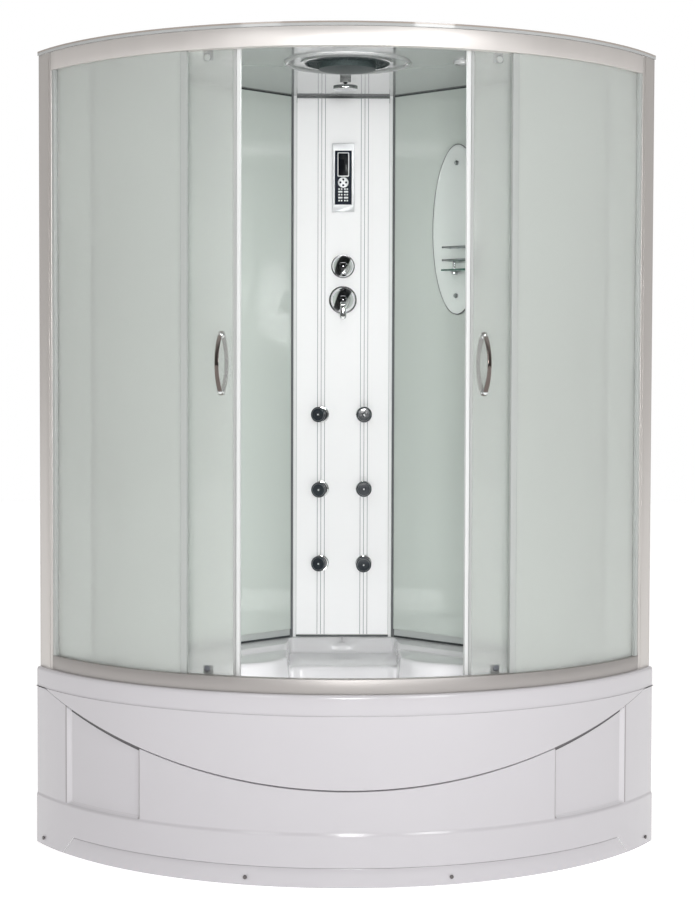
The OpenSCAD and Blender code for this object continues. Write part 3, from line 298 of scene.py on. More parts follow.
def lathe(name, profile, place, look, body="cabin", count=64, angle=35):
    """Profile of (radius, height) points in mm, turned round the local Z of a matrix."""
    points = []
    for r, z in profile:
        for i in range(count):
            turn = 2 * math.pi * i / count
            points.append(place @ Vector((r * MM * math.cos(turn), r * MM * math.sin(turn), z * MM)))
    faces = grid_faces(len(profile), count, closed=True)
    return add_mesh(name, points, faces, look, body, angle=angle)


def dome(r0, z0, r1, z1, steps=8):
    """Quarter-ellipse points from (r0, z0) to (r1, z1), bulging outwards first."""
    out = []
    for i in range(steps + 1):
        t = math.pi / 2 * i / steps
        out.append((r1 + (r0 - r1) * math.cos(t), z0 + (z1 - z0) * math.sin(t)))
    return out


def block(name, low, high, look, place, edge, body="cabin"):
    """Box with bevelled edges."""
    work = bmesh.new()
    bmesh.ops.create_cube(work, size=1)
    size = Vector(high) - Vector(low)
    middle = (Vector(high) + Vector(low)) / 2
    for vert in work.verts:
        vert.co = middle + vert.co * size
    bmesh.ops.bevel(work, geom=list(work.edges), offset=edge, segments=3, affect="EDGES", profile=0.5)
    work.transform(place)
    mesh = bpy.data.meshes.new(name)
    work.to_mesh(mesh)
    work.free()
    mesh.materials.append(look)
    piece = bpy.data.objects.new(name, mesh)
    scene.collection.objects.link(piece)
    smooth(piece)
    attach(piece, body)
    return piece


def apply_modifiers(piece):
    """Works every modifier into the mesh."""
    bpy.context.view_layer.objects.active = piece
    for modifier in list(piece.modifiers):
        bpy.ops.object.modifier_apply(modifier=modifier.name)


def carve(piece, cutter):
    """Cuts one closed shape out of a piece, then drops the cutter."""
    cut = piece.modifiers.new("cut", "BOOLEAN")
    cut.operation = "DIFFERENCE"
    cut.solver = "EXACT"
    cut.object = cutter
    apply_modifiers(piece)
    bpy.data.objects.remove(cutter)


def facing(x, y, z):
    """Matrix whose local Z points out of the column (-Y), with local Y up."""
    return Matrix.Translation((x, y, z)) @ Matrix.Rotation(math.radians(90), 4, "X")


# CAD nodes that keep their shape
WELD_GAP = 0.00001
BEVEL_FROM = 40
CREASE_FROM = 30


def keep(name, look, edge):
    """Gives a CAD node its material, and fine bevelled edges of a width in metres."""
    piece = nodes[name]
    piece.data.materials.clear()
    piece.data.materials.append(look)
    piece.data.polygons.foreach_set("use_smooth", [True] * len(piece.data.polygons))
    weld = piece.modifiers.new("weld", "WELD")
    weld.merge_threshold = WELD_GAP
    if edge:
        bevel = piece.modifiers.new("bevel", "BEVEL")
        bevel.width = edge
        bevel.segments = 2
        bevel.limit_method = "ANGLE"
        bevel.angle_limit = math.radians(BEVEL_FROM)
    split = piece.modifiers.new("split", "EDGE_SPLIT")
    split.split_angle = math.radians(CREASE_FROM)


# Look and bevel width of each node. Those in PAIRED are there on the left and on the right.
KEPT = {
    "fixed_glass_seals": (EDGE_SEAL, 0.0008), "wall_trims": (TRIM, 0.0006), "column": (COLUMN, 0),
    "kick_panel": (APRON, 0.0012), "knob_roses": (DARK_CHROME, 0.0012),
    "jet_collars": (CHROME, 0.0006), "shelf_glass": (SHELF, 0.0006), "shelf_rails": (ROSE, 0),
    "mirror_studs": (ROSE, 0.0008), "apron_screws": (SCREW, 0.0006),
    "tub_frame": (PAINT, 0.001), "levelling_feet": (STEEL, 0.0006), "drain_trap": (PIPE, 0.001),
    "drain_cover": (CHROME, 0), "water_manifold": (BRASS, 0), "fan_housing": (RUBBER, 0),
    "fan_rotor": (RUBBER, 0), "bottom_rail": (LOW_RAIL, 0.0015), "top_rail": (RAIL, 0.0015),
    "roof": (CEILING, 0), "ceiling_grille": (GRILLE, 0), "ceiling_lamps": (LAMP, 0.0006),
    "rain_head": (ROSE, 0.0004), "control_bezel": (SILVER, 0.0015), "control_panel": (DARK, 0),
    "nav_button": (SILVER, 0.0006), "diverter_knob": (CHROME, 0.001), "mixer_dome": (CHROME, 0.001),
    "mixer_lever": (CHROME, 0.0012), "oval_mirror": (MIRROR, 0.0008), "tub": (ACRYLIC, 0.003),
}
PAIRED = {
    "post": (POST, 0.0012), "fixed_glass": (FROSTED, 0), "door_glass": (DOOR_FROST, 0),
    "door_seals": (SEAL, 0.0008), "wall": (WALL, 0), "roller_brackets": (BRACKET, 0.0006),
    "handle": (CHROME, 0.0012),
}
for i in range(1, 7):
    KEPT[f"jet_nozzle_{i}"] = (JET, 0)
for i in range(1, 5):
    PAIRED[f"wheel_{i}"] = (NYLON, 0.0004)
for name, kind in PAIRED.items():
    KEPT[f"left_{name}"] = KEPT[f"right_{name}"] = kind
for name, (look, edge) in KEPT.items():
    keep(name, look, edge)


UPPER_HALF_Z = 1.0
GLASS_CLEAR = 0.3 * MM


def cap_brackets(piece):
    """Pale caps on the upper bolts' heads, outside the glass."""
    piece.data.materials.append(EDGE_SEAL)
    for face in piece.data.polygons:
        at = piece.matrix_world @ face.center
        if math.hypot(at.x, at.y - ARC_Y) > DOOR_R + GLASS_CLEAR and at.z > UPPER_HALF_Z:
            face.material_index = 1


cap_brackets(nodes["left_roller_brackets"])
cap_brackets(nodes["right_roller_brackets"])

# Painted shade for the column's grooves
GROOVE_PAINTED_SHADE = (0.30, 0.31, 0.33)
GROOVE_FROM = 0.1 * MM
GROOVE_FULL = 0.6 * MM
PATCH_FADE = 0.08


def paint_over(look, share, color):
    """Lays a second colour over a look, by a share that another node gives."""
    tree = look.node_tree
    shader = tree.nodes["Principled BSDF"]
    source = shader.inputs["Base Color"].links[0].from_socket
    tone = tree.nodes.new("ShaderNodeMix")
    tone.data_type = "RGBA"
    tone.inputs["B"].default_value = (*color, 1)
    tree.links.new(share, tone.inputs["Factor"])
    tree.links.new(source, tone.inputs["A"])
    tree.links.new(tone.outputs["Result"], shader.inputs["Base Color"])


def position_along(look, axis):
    """Output that gives each spot's position along an axis."""
    tree = look.node_tree
    place = tree.nodes.new("ShaderNodeNewGeometry")
    split = tree.nodes.new("ShaderNodeSeparateXYZ")
    tree.links.new(place.outputs["Position"], split.inputs["Vector"])
    return split.outputs[axis]


def paint_groove_shade(look):
    """Painted shade: darkens whatever lies behind the column's face, so its grooves read as fine dark
    lines.
    """
    depth = look.node_tree.nodes.new("ShaderNodeMapRange")
    depth.inputs["From Min"].default_value = FACE_Y + GROOVE_FROM
    depth.inputs["From Max"].default_value = FACE_Y + GROOVE_FULL
    look.node_tree.links.new(position_along(look, "Y"), depth.inputs["Value"])
    paint_over(look, depth.outputs["Result"], GROOVE_PAINTED_SHADE)


def tint_band(look, axis, low, high, color):
    """Another colour for whatever lies between two positions along an axis."""
    inside = look.node_tree.nodes.new("ShaderNodeMath")
    inside.operation = "COMPARE"
    inside.inputs[1].default_value = (low + high) / 2
    inside.inputs[2].default_value = (high - low) / 2
    look.node_tree.links.new(position_along(look, axis), inside.inputs[0])
    paint_over(look, inside.outputs["Value"], color)


def tint_sides(look, low, high, color):
    """The same band at the left and the right of the middle."""
    tint_band(look, "X", low, high, color)
    tint_band(look, "X", -high, -low, color)


def paint_reflection_patches(look, patches, color):
    """Painted reflection: patches of another tone where the surface leans far enough one way, as a room
    shows in chrome.
    """
    tree = look.node_tree
    place = tree.nodes.new("ShaderNodeNewGeometry")
    for lean, start in patches:
        along = tree.nodes.new("ShaderNodeVectorMath")
        along.operation = "DOT_PRODUCT"
        along.inputs[1].default_value = lean
        share = tree.nodes.new("ShaderNodeMapRange")
        share.inputs["From Min"].default_value = start
        share.inputs["From Max"].default_value = start + PATCH_FADE
        tree.links.new(place.outputs["Normal"], along.inputs[0])
        tree.links.new(along.outputs["Value"], share.inputs["Value"])
        paint_over(look, share.outputs["Result"], color)


PAINTED_BRIGHT_REFLECTION = (0.92, 0.92, 0.93)
PAINTED_EDGE_HIGHLIGHT = (0.9, 0.9, 0.9)
PAINTED_DARK_REFLECTION = (0.13, 0.105, 0.095)
# Painted bright reflection patches on the dark dome chrome
paint_reflection_patches(PAINTED_REFLECTION_DOME, [((0.82, 0, -0.57), 0.18), ((-0.92, 0, 0.39), 0.42)], PAINTED_BRIGHT_REFLECTION)
# Painted dark reflection patches and a painted edge highlight on the handle chrome
paint_reflection_patches(PAINTED_REFLECTION_GRIP, [((0, 0, -1), 0.1), ((0, -1, 0), 0.84)], PAINTED_DARK_REFLECTION)
paint_reflection_patches(PAINTED_REFLECTION_GRIP, [((1, 0, 0), 0.62)], PAINTED_EDGE_HIGHLIGHT)

# Painted shade in the column's grooves, dark joints, pale lips beside the column and the roof's raw edge
JOINT = (0.035, 0.04, 0.042)
SIDE_JOINT = (0.13, 0.135, 0.14)
LIP_TONE = (0.80, 0.81, 0.81)
RAW_EDGE = (0.34, 0.30, 0.27)
TRIM_IN_X = 151.5 * MM
TRIM_OUT_X = 161 * MM
LIP_W = 9 * MM
TOP_TRIM_H = 22 * MM
DECK_TRIM_LOW = 5 * MM
DECK_TRIM_HIGH = 6 * MM
WALL_JOINT_H = 4 * MM
RAW_LOW = 4.5 * MM
RAW_HIGH = 0.2 * MM
paint_groove_shade(COLUMN)
tint_band(TRIM, "Z", CEILING_Z - TOP_TRIM_H, CEILING_Z, JOINT)
tint_band(TRIM, "Z", DECK_Z - DECK_TRIM_LOW, DECK_Z + DECK_TRIM_HIGH, JOINT)
tint_sides(TRIM, TRIM_IN_X, TRIM_OUT_X, SIDE_JOINT)
tint_sides(TRIM, TRIM_IN_X - LIP_W, TRIM_IN_X, LIP_TONE)
tint_band(WALL, "Z", CEILING_Z - WALL_JOINT_H, CEILING_Z + WALL_JOINT_H, JOINT)
tint_band(CEILING, "Z", ROOF_TOP - RAW_LOW, ROOF_TOP - RAW_HIGH, RAW_EDGE)
dull_coat(APRON)
dull_coat(ACRYLIC)


# Apron: one moulded sheet with a proud upper field, side recesses and a soft ledge
SMILE_R = 1890 * MM
SMILE_Z = 246 * MM
LEDGE_Z = 133 * MM
LEDGE_LAP = 4 * MM
LEDGE_FADE = 10 * MM
FIELD_STEP = 5.5 * MM
LEDGE_STEP = 3 * MM
RECESS_A1 = 33.5
RECESS_A2 = 50.5
RECESS_D = 13 * MM
RECESS_IN_W = 9 * MM
RECESS_OUT_W = 18 * MM
RECESS_FOOT_H = 11 * MM
CREASE_D = 9 * MM
CREASE_H = 3.2 * MM
CREASE_RISE = 8 * MM
CREASE_FADE = 2 * MM
DEEPEST = 14.5 * MM
LIP_D = 1.2 * MM
LIP_H = 1.8 * MM
BACK_R = 959.5 * MM
KICK_H = 50 * MM
KICK_TOP_X = 725.6 * MM
KICK_LOW_X = 758.7 * MM
CUT_REACH = 1.2
CUT_BELOW = 0.01
APRON_CREASE = 28

# Apron rows and columns: closer together where the surface bends
PLAIN_TURN = 0.8
INNER_TURN = 0.13
OUTER_TURN = 0.16
INNER_COLUMNS = range(-1, 9)
OUTER_COLUMNS = range(-1, 11)
FOOT_ROWS = [0, 20, 45, 60, 90]
LEDGE_ROWS = range(-4, 10)
LEDGE_ROW_H = 2 * MM
FAR_BELOW = 1.0
JUST_BELOW = 0.01 * MM
ROW_CLEAR = 0.1 * MM
FIELD_ROWS = 8
FIELD_LIFT = 18 * MM
FIELD_DROP = 20 * MM
SMILE_ROWS = [16, 13.4, 12.4, 11.2, 10, 8.6, 7, 6, 5.2, 4.7, 4.2, 3.7, 3.2, 0.25]
LIP_ROWS = [0.05, 0.4, 1.0, 1.8]
TOP_ROWS = 6
LINE_OVER = 2 * MM


def ease(t):
    """Smooth share from 0 to 1."""
    t = min(1, max(0, t))
    return t * t * (3 - 2 * t)


def smile_height(degrees):
    """Height of the curved line under the upper field."""
    x = FRONT_R * math.sin(math.radians(degrees))
    return SMILE_Z + SMILE_R - math.sqrt(SMILE_R ** 2 - x ** 2)


def apron_depth(degrees, z, below_smile):
    """How far the apron's face lies behind its outermost surface."""
    if below_smile <= 0:
        return 0
    depth = LEDGE_STEP + (FIELD_STEP - LEDGE_STEP) * ease((z - LEDGE_Z + LEDGE_LAP) / LEDGE_FADE)
    along = math.radians(abs(degrees)) * FRONT_R
    inner = along - math.radians(RECESS_A1) * FRONT_R
    outer = math.radians(RECESS_A2) * FRONT_R - along
    across = ease(inner / RECESS_IN_W) * ease(outer / RECESS_OUT_W)
    inside = across * ease((z - LEDGE_Z) / RECESS_FOOT_H)
    crease_h = CREASE_H + CREASE_RISE * across
    crease = CREASE_D * (1 - ease((below_smile - crease_h) / CREASE_FADE))
    return min(DEEPEST, depth + (RECESS_D - FIELD_STEP) * inside + crease)


def apron_turns():
    """Angles of the apron's columns, from left to right."""
    turns = []
    marks = [RECESS_A1 + k * INNER_TURN for k in INNER_COLUMNS]
    marks += [RECESS_A2 - k * OUTER_TURN for k in OUTER_COLUMNS]
    turn = 0.0
    while turn <= APRON_A:
        turns.append(turn)
        turn += PLAIN_TURN
    turns = sorted(set(turns + marks + [APRON_A]))
    return [-t for t in reversed(turns) if t > 0] + turns


def apron_heights(line):
    """Heights of one column's points, each with its distance below the curved line."""
    heights = [(z * MM, line - z * MM) for z in FOOT_ROWS]
    heights += [(LEDGE_Z + k * LEDGE_ROW_H, FAR_BELOW) for k in LEDGE_ROWS]
    low = LEDGE_Z + FIELD_LIFT
    for k in range(1, FIELD_ROWS + 1):
        z = low + (line - FIELD_DROP - low) * k / FIELD_ROWS
        heights.append((z, line - z))
    heights += [(line - d * MM, d * MM) for d in SMILE_ROWS]
    heights.append((line, JUST_BELOW))
    heights += [(line + d * MM, 0) for d in LIP_ROWS]
    for k in range(1, TOP_ROWS + 1):
        heights.append((line + LIP_H + (APRON_TOP - line - LIP_H) * k / TOP_ROWS, 0))
    return heights


def apron_sheet():
    """The closed sheet: moulded front, plain back, flat edges."""
    turns = apron_turns()
    points = []
    for turn in turns:
        line = min(smile_height(turn), APRON_TOP + LINE_OVER)
        for z, under in apron_heights(line):
            depth = apron_depth(turn, z, under)
            if under == 0 and z - line < LIP_H + ROW_CLEAR:
                depth = LIP_D * (1 - ease((z - line) / LIP_H))
            z = min(max(z, 0), APRON_TOP)
            points.append(arc_point(FRONT_R - depth, turn, z))
    rows = len(turns)
    columns = len(points) // rows
    faces = grid_faces(rows, columns)
    base = len(points)
    for turn in turns:
        points += [arc_point(BACK_R, turn, 0), arc_point(BACK_R, turn, APRON_TOP)]
    for i in range(rows - 1):
        a, b = base + 2 * i, base + 2 * (i + 1)
        faces.append((a, a + 1, b + 1, b))
        low, low_next = i * columns, (i + 1) * columns
        faces.append((low, a, b, low_next))
        faces.append((low + columns - 1, low_next + columns - 1, b + 1, a + 1))
    for i in (0, rows - 1):
        faces.append(tuple(range(i * columns, (i + 1) * columns)) + (base + 2 * i + 1, base + 2 * i))
    return add_mesh("apron_moulding", points, faces, APRON, merge=WELD_GAP, angle=APRON_CREASE)


def kick_cutter():
    """Six-sided block where the kick panel sits."""
    points = []
    for y in (-CUT_REACH, 0.0):
        points += [
            (-KICK_LOW_X, y, -CUT_BELOW), (-KICK_LOW_X, y, 0), (-KICK_TOP_X, y, KICK_H),
            (KICK_TOP_X, y, KICK_H), (KICK_LOW_X, y, 0), (KICK_LOW_X, y, -CUT_BELOW),
        ]
    half = len(points) // 2
    faces = [tuple(range(half)), tuple(range(2 * half - 1, half - 1, -1))]
    faces += [(i, (i + 1) % half, (i + 1) % half + half, i + half) for i in range(half)]
    return add_mesh("kick_cutter", points, faces, APRON)


# Apron tones: painted shadow in the crease, painted shade on some recess bevels and painted light on
# others
# Crease faces deeper than this radius get the painted shadow
PAINTED_SHADOW_R = 961.4 * MM
BACK_CLEAR = 0.2 * MM
LINE_CLEAR = 4 * MM
SHADE_IN_A = 0.56
SHADE_OUT_A1 = 0.2
SHADE_OUT_A2 = 0.1
LIGHT_OUT_A = 1.2
LIGHT_FOOT_H = 10 * MM


def apron_tone(face):
    """Material slot of one face: 0 plain, 1 painted crease shadow, 2 painted shade on a bevel, 3 painted
    light on a bevel.
    """
    z = face.center.z
    radius = math.hypot(face.center.x, face.center.y - ARC_Y)
    turn = math.degrees(math.atan2(abs(face.center.x), ARC_Y - face.center.y))
    if BACK_R + BACK_CLEAR < radius < PAINTED_SHADOW_R and z > 2 * KICK_H:
        return 1
    if radius <= PAINTED_SHADOW_R or z >= smile_height(turn) - LINE_CLEAR or z <= LEDGE_Z + LEDGE_LAP:
        return 0
    if RECESS_A1 < turn < RECESS_A1 + SHADE_IN_A:
        return 2
    if RECESS_A2 - SHADE_OUT_A1 < turn < RECESS_A2 + SHADE_OUT_A2:
        return 2
    if RECESS_A2 - LIGHT_OUT_A < turn < RECESS_A2 - SHADE_OUT_A1:
        return 3
    if RECESS_A1 < turn < RECESS_A2 and z < LEDGE_Z + LIGHT_FOOT_H:
        return 3
    return 0


def make_apron():
    apron = apron_sheet()
    carve(apron, kick_cutter())
    smooth(apron, APRON_CREASE)
    for look in (PAINTED_SHADOW_AND_DARK_RIM, APRON_PAINTED_SHADE, APRON_PAINTED_LIGHT):
        apron.data.materials.append(look)
    for face in apron.data.polygons:
        tone = apron_tone(face)
        if tone:
            face.material_index = tone
    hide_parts("apron")


make_apron()


# Tub: one moulded shell, built in rings outwards from the drain
DRAIN_Y = -210 * MM
DRAIN_R = 26 * MM
PLATFORM_Z = 460 * MM
NICHE_Z = 430 * MM
NICHE_X = 165 * MM
NICHE_BACK_Y = 455 * MM
FLOOR_Z = 150 * MM
SIDE_DECK = 125 * MM
WALL_SPREAD = 62 * MM
DECK_EDGE_R = 893 * MM
WELL_R = 873 * MM
WELL_IN = 245 * MM
ARM_FRONT_Y = 30 * MM
SEAT_FRONT_Y = 168 * MM
SEAT_BOW = 32 * MM
SEAT_BOW_X = 170 * MM
SEAT_GUESS_Y = 170 * MM
SEAT_X = 182 * MM
SKIRT_R = 964 * MM
RIM_R = 972 * MM
STRIP_R = 903 * MM
RIM_RISE_W = 0.02
SLOPE_SHARE_W = 0.05
LEAST_SLANT = 0.01
LEAST_BACK = 0.02
LEAST_ACROSS = 0.001
FAR = 9.0
TURNS_ROUND = 720
SKIN_T = 4.5 * MM
TUB_CREASE = 50

# Widths over which two outlines blend
RIM_BLEND = 0.008
DECK_BLEND = 0.16
NICHE_BLEND = 0.05
SEAT_BLEND = 0.18
WELL_BLEND = 0.08

# How far down the slope each corner lies where the basin has no shelf
LOW_SHARE = 0.12
STEP_SHARE = 0.33
ARM_SHARE = 0.66
SEAT_BACK_SHARE = 0.1
SEAT_FRONT_SHARE = 0.2
NICHE_FOOT = 14 * MM
STEP_IN = 12 * MM
STRIP_HALF_W = 2 * MM
FLOOR_R = 120 * MM
DRAIN_LIP_W = 6 * MM
FLOOR_FALL = 2 * MM
LIP_FALL = 4 * MM
DRAIN_FALL = 5 * MM

# Roundings of the tub's corners, and the most that one takes of the sides beside it
EDGE_ROUND = 9 * MM
STRIP_ROUND = 2 * MM
STEP_ROUND = 8 * MM
ARM_ROUND = 14 * MM
SEAT_BACK_ROUND = 12 * MM
SEAT_FRONT_ROUND = 16 * MM
FOOT_ROUND = 60 * MM
FLOOR_ROUND = 20 * MM
DRAIN_ROUND = 4 * MM
FILLET_SHARE = 0.48


def to_circle(turn, radius):
    """Distance from the drain to a circle round the front's centre."""
    along = (DRAIN_Y - ARC_Y) * -math.cos(turn)
    return -along + math.sqrt(along ** 2 - (DRAIN_Y - ARC_Y) ** 2 + radius ** 2)


def to_side(turn, inset):
    """Distance from the drain to the nearer straight side, drawn in by an inset."""
    slant = (abs(math.sin(turn)) - math.cos(turn)) / math.sqrt(2)
    if slant <= LEAST_SLANT:
        return FAR
    return ((REAR_Y - DRAIN_Y) / math.sqrt(2) - inset) / slant


def soft_min(a, b, width):
    """The smaller of two values, with a rounded step between them."""
    share = min(1, max(0, 0.5 + 0.5 * (b - a) / width))
    return b + (a - b) * share - width * share * (1 - share)


def soft_max(a, b, width):
    """The larger of two values, with a rounded step between them."""
    return -soft_min(-a, -b, width)


def basin_edges(turn):
    """Distances of the deck's edge, the niche's edge and the well's edge from the drain."""
    across, back = max(abs(math.sin(turn)), LEAST_ACROSS), -math.cos(turn)
    deck = soft_min(to_circle(turn, DECK_EDGE_R), to_side(turn, SIDE_DECK), DECK_BLEND)
    well = soft_min(to_circle(turn, WELL_R), to_side(turn, WELL_IN), DECK_BLEND)
    if back < LEAST_BACK:
        return deck, well, well
    niche = soft_min(NICHE_X / across, (NICHE_BACK_Y - DRAIN_Y) / back, NICHE_BLEND)
    deck = soft_max(deck, niche, NICHE_BLEND)
    front = (SEAT_GUESS_Y - DRAIN_Y) / back
    for _ in range(3):
        bow = SEAT_BOW * min(1, front * across / SEAT_BOW_X) ** 2
        front = (SEAT_FRONT_Y + bow - DRAIN_Y) / back
    arm = (ARM_FRONT_Y - DRAIN_Y) / back
    rear = soft_max(arm, soft_min(front, SEAT_X / across, DECK_BLEND), SEAT_BLEND)
    well = soft_min(well, rear, WELL_BLEND)
    return deck, max(niche, well), well


def mix(a, b, share):
    """Point between two others."""
    return tuple(p + (q - p) * share for p, q in zip(a, b))


def fillets(corners, steps=4):
    """Open path through (radius, height, rounding) corners, with each one rounded."""
    out = [corners[0][:2]]
    for before, here, after in zip(corners, corners[1:], corners[2:]):
        first, middle, last = (Vector(p[:2]) for p in (before, here, after))
        back, on = first - middle, last - middle
        cut = min(here[2], back.length * FILLET_SHARE, on.length * FILLET_SHARE)
        start = middle + (back.normalized() * cut if back.length > 0 else back)
        end = middle + (on.normalized() * cut if on.length > 0 else on)
        for k in range(steps + 1):
            t = k / steps
            out.append(tuple(start * (1 - t) ** 2 + middle * 2 * t * (1 - t) + end * t ** 2))
    out.append(corners[-1][:2])
    return out


def tub_section(turn):
    """Outline of the tub from its rim to the drain, in one direction from the drain."""
    outer = soft_min(to_circle(turn, RIM_R), to_side(turn, 0), RIM_BLEND)
    strip = min(outer, to_circle(turn, STRIP_R))
    top = DECK_Z + (RIM_Z - DECK_Z) * ease((outer - strip) / RIM_RISE_W)
    deck, niche, well = basin_edges(turn)
    arm_share = ease((deck - niche) / SLOPE_SHARE_W)
    niche_share = ease((niche - well) / SLOPE_SHARE_W)
    edge = (deck, DECK_Z)
    foot = (well - WALL_SPREAD, FLOOR_Z)
    niche_foot = (niche - NICHE_FOOT, NICHE_Z)
    low = mix(mix(edge, foot, LOW_SHARE), niche_foot, niche_share)
    step = mix(mix(edge, low, STEP_SHARE), (deck - STEP_IN, PLATFORM_Z), arm_share)
    arm = mix(mix(edge, low, ARM_SHARE), (niche, PLATFORM_Z), arm_share)
    seat_back = mix(mix(arm, foot, SEAT_BACK_SHARE), niche_foot, niche_share)
    seat_front = mix(mix(arm, foot, SEAT_FRONT_SHARE), (well, NICHE_Z), niche_share)
    return fillets([
        (outer, APRON_TOP, 0), (outer, top, EDGE_ROUND),
        (min(outer, strip + STRIP_HALF_W), top, STRIP_ROUND), (strip - STRIP_HALF_W, DECK_Z, STRIP_ROUND),
        (*edge, EDGE_ROUND), (*step, STEP_ROUND), (*arm, ARM_ROUND),
        (*seat_back, SEAT_BACK_ROUND), (*seat_front, SEAT_FRONT_ROUND), (*foot, FOOT_ROUND),
        (FLOOR_R, FLOOR_Z - FLOOR_FALL, FLOOR_ROUND),
        (DRAIN_R + DRAIN_LIP_W, FLOOR_Z - LIP_FALL, DRAIN_ROUND), (DRAIN_R, FLOOR_Z - DRAIN_FALL, 0),
    ])


def make_tub():
    """Shell with a section each half degree. The last one closes the round on the first."""
    points = []
    sections = TURNS_ROUND + 1
    for i in range(sections):
        turn = 2 * math.pi * i / TURNS_ROUND
        points += [(r * math.sin(turn), DRAIN_Y - r * math.cos(turn), z) for r, z in tub_section(turn)]
    faces = grid_faces(sections, len(points) // sections)
    tub = add_mesh("tub_moulding", points, faces, ACRYLIC, angle=TUB_CREASE)
    deck = max(tub.data.polygons, key=lambda p: p.area)
    if deck.normal.z < 0:
        tub.data.flip_normals()
    skin = tub.modifiers.new("skin", "SOLIDIFY")
    skin.thickness = SKIN_T
    skin.offset = -1
    apply_modifiers(tub)
    smooth(tub, TUB_CREASE)
    tub.data.materials.append(APRON)
    for face in tub.data.polygons:
        if math.hypot(face.center.x, face.center.y - ARC_Y) > SKIRT_R:
            face.material_index = 1
    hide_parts("tub")


make_tub()


# Door seals: a pale magnet strip with a grey channel beside it, and a fin at the rear edge
DOOR_SPAN_A = 29.3
MAGNET_OUT = 2.5
WEB_OUT = -0.5
CHANNEL_OUT = 2.2
FIN_OUT = 2
MAGNET_A = 0.6
WEB_A1 = MAGNET_A - 0.05
WEB_A2 = MAGNET_A + 0.14
CHANNEL_A1 = MAGNET_A + 0.09
CHANNEL_A2 = 1.12
FIN_A = 0.8


def upright(name, radii, degrees, heights, look, body, sign=1, edge=0.8 * MM):
    """Upright bar with rounded edges, from its radii and angles round the front's centre."""
    near, far = radii
    start, end = (math.radians(a) * far for a in degrees)
    outline = rounded([(near, start), (far, start), (far, end), (near, end)], edge, 3)
    points = []
    for z in heights:
        points += [arc_point(r, sign * math.degrees(along / far), z) for r, along in outline]
    return add_mesh(name, points, tube_faces(2, len(outline)), look, body, angle=40)


def make_door_seals(side, sign, opening):
    """Strips along a door's edges, each standing out from the glass by its own millimetres."""
    body = f"{side}_door"
    node = nodes[f"{side}_door_seals"]
    levels = [(node.matrix_world @ Vector(corner)).z for corner in node.bound_box]
    heights = (min(levels), max(levels))
    strips = [
        ("magnet", MAGNET_OUT, 0, MAGNET_A, SEAL_WHITE),
        ("web", WEB_OUT, WEB_A1, WEB_A2, TRIM),
        ("channel", CHANNEL_OUT, CHANNEL_A1, CHANNEL_A2, SEAL),
        ("fin", FIN_OUT, DOOR_SPAN_A - FIN_A, DOOR_SPAN_A, SEAL),
    ]
    for name, out, start, end, look in strips:
        strip = upright(f"{side}_{name}", (DOOR_BORE_R - out * MM, DOOR_R + out * MM),
                        (opening + start, opening + end), heights, look, body, sign)
        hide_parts(f"{side}_door_seals")


make_door_seals("left", -1, LEFT_OPEN_A)
make_door_seals("right", 1, RIGHT_OPEN_A)


# Handles: two bent bars with barrel ends on each door
HANDLE_Z = 1309 * MM
HANDLE_HALF = 83 * MM
HANDLE_OUT = 33 * MM
BOW_R = (HANDLE_HALF ** 2 + HANDLE_OUT ** 2) / (2 * HANDLE_OUT)
BOLT_AT = 71 * MM
HANDLE_A = 3.13
GLASS_GAP = 0.2 * MM
BAR_HALF_W = 6.5
BAR_HALF_T = 2.6
BAR_ROUND = 2.4
BAR_IN = 2.8 * MM
BAR_WAIST = 0.12
BAR_END = 0.03
BAR_ROWS = 49
BARREL = [(0, 0), (8.2, 0), (8.2, 1.2), (7, 2), (7, 8)] + dome(7, 8, 0, 10.5, 5)


def on_arc(radius, degrees, z, flip=False):
    """Matrix on the arc with local -Y outwards, or inwards when flipped."""
    place = Matrix.Translation((0, ARC_Y, 0)) @ Matrix.Rotation(math.radians(degrees), 4, "Z")
    place = place @ Matrix.Translation((0, -radius, z))
    return place @ Matrix.Rotation(math.pi, 4, "Z") if flip else place


def bent_bar(name, place, body):
    """Flat rounded bar on an arc that stands off towards local -Y."""
    section = rounded([(i * BAR_HALF_W, k * BAR_HALF_T) for i, k in SQUARE], BAR_ROUND)
    reach = math.asin(HANDLE_HALF / BOW_R) - BAR_END
    points = []
    for i in range(BAR_ROWS):
        turn = -reach + 2 * reach * i / (BAR_ROWS - 1)
        waist = 1 - BAR_WAIST * math.cos(turn / reach * math.pi / 2) ** 2
        for x, depth in section:
            r = BOW_R - BAR_IN + depth * MM
            local = (x * waist * MM, BOW_R - HANDLE_OUT - r * math.cos(turn), r * math.sin(turn))
            points.append(place @ Vector(local))
    return add_mesh(name, points, tube_faces(BAR_ROWS, len(section)), PAINTED_REFLECTION_GRIP, body, angle=50)


def make_handle(side, sign, opening):
    """Outer and inner bow of one door, with their barrels, as one piece."""
    body = f"{side}_door"
    angle = sign * (HANDLE_A + opening)
    pieces = []
    sides = (("outer", DOOR_R + GLASS_GAP, False), ("inner", DOOR_BORE_R - GLASS_GAP, True))
    for name, radius, flip in sides:
        place = on_arc(radius, angle, HANDLE_Z, flip)
        pieces.append(bent_bar(f"{side}_{name}_bow", place, body))
        for end in (-1, 1):
            foot = place @ Matrix.Translation((0, 0, end * BOLT_AT)) @ Matrix.Rotation(math.pi / 2, 4, "X")
            pieces.append(lathe(f"{side}_{name}_barrel", BARREL, foot, CHROME, body, count=40))
    handle = join(f"{side}_grip", pieces, body)
    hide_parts(f"{side}_handle")


make_handle("left", -1, LEFT_OPEN_A)
make_handle("right", 1, RIGHT_OPEN_A)


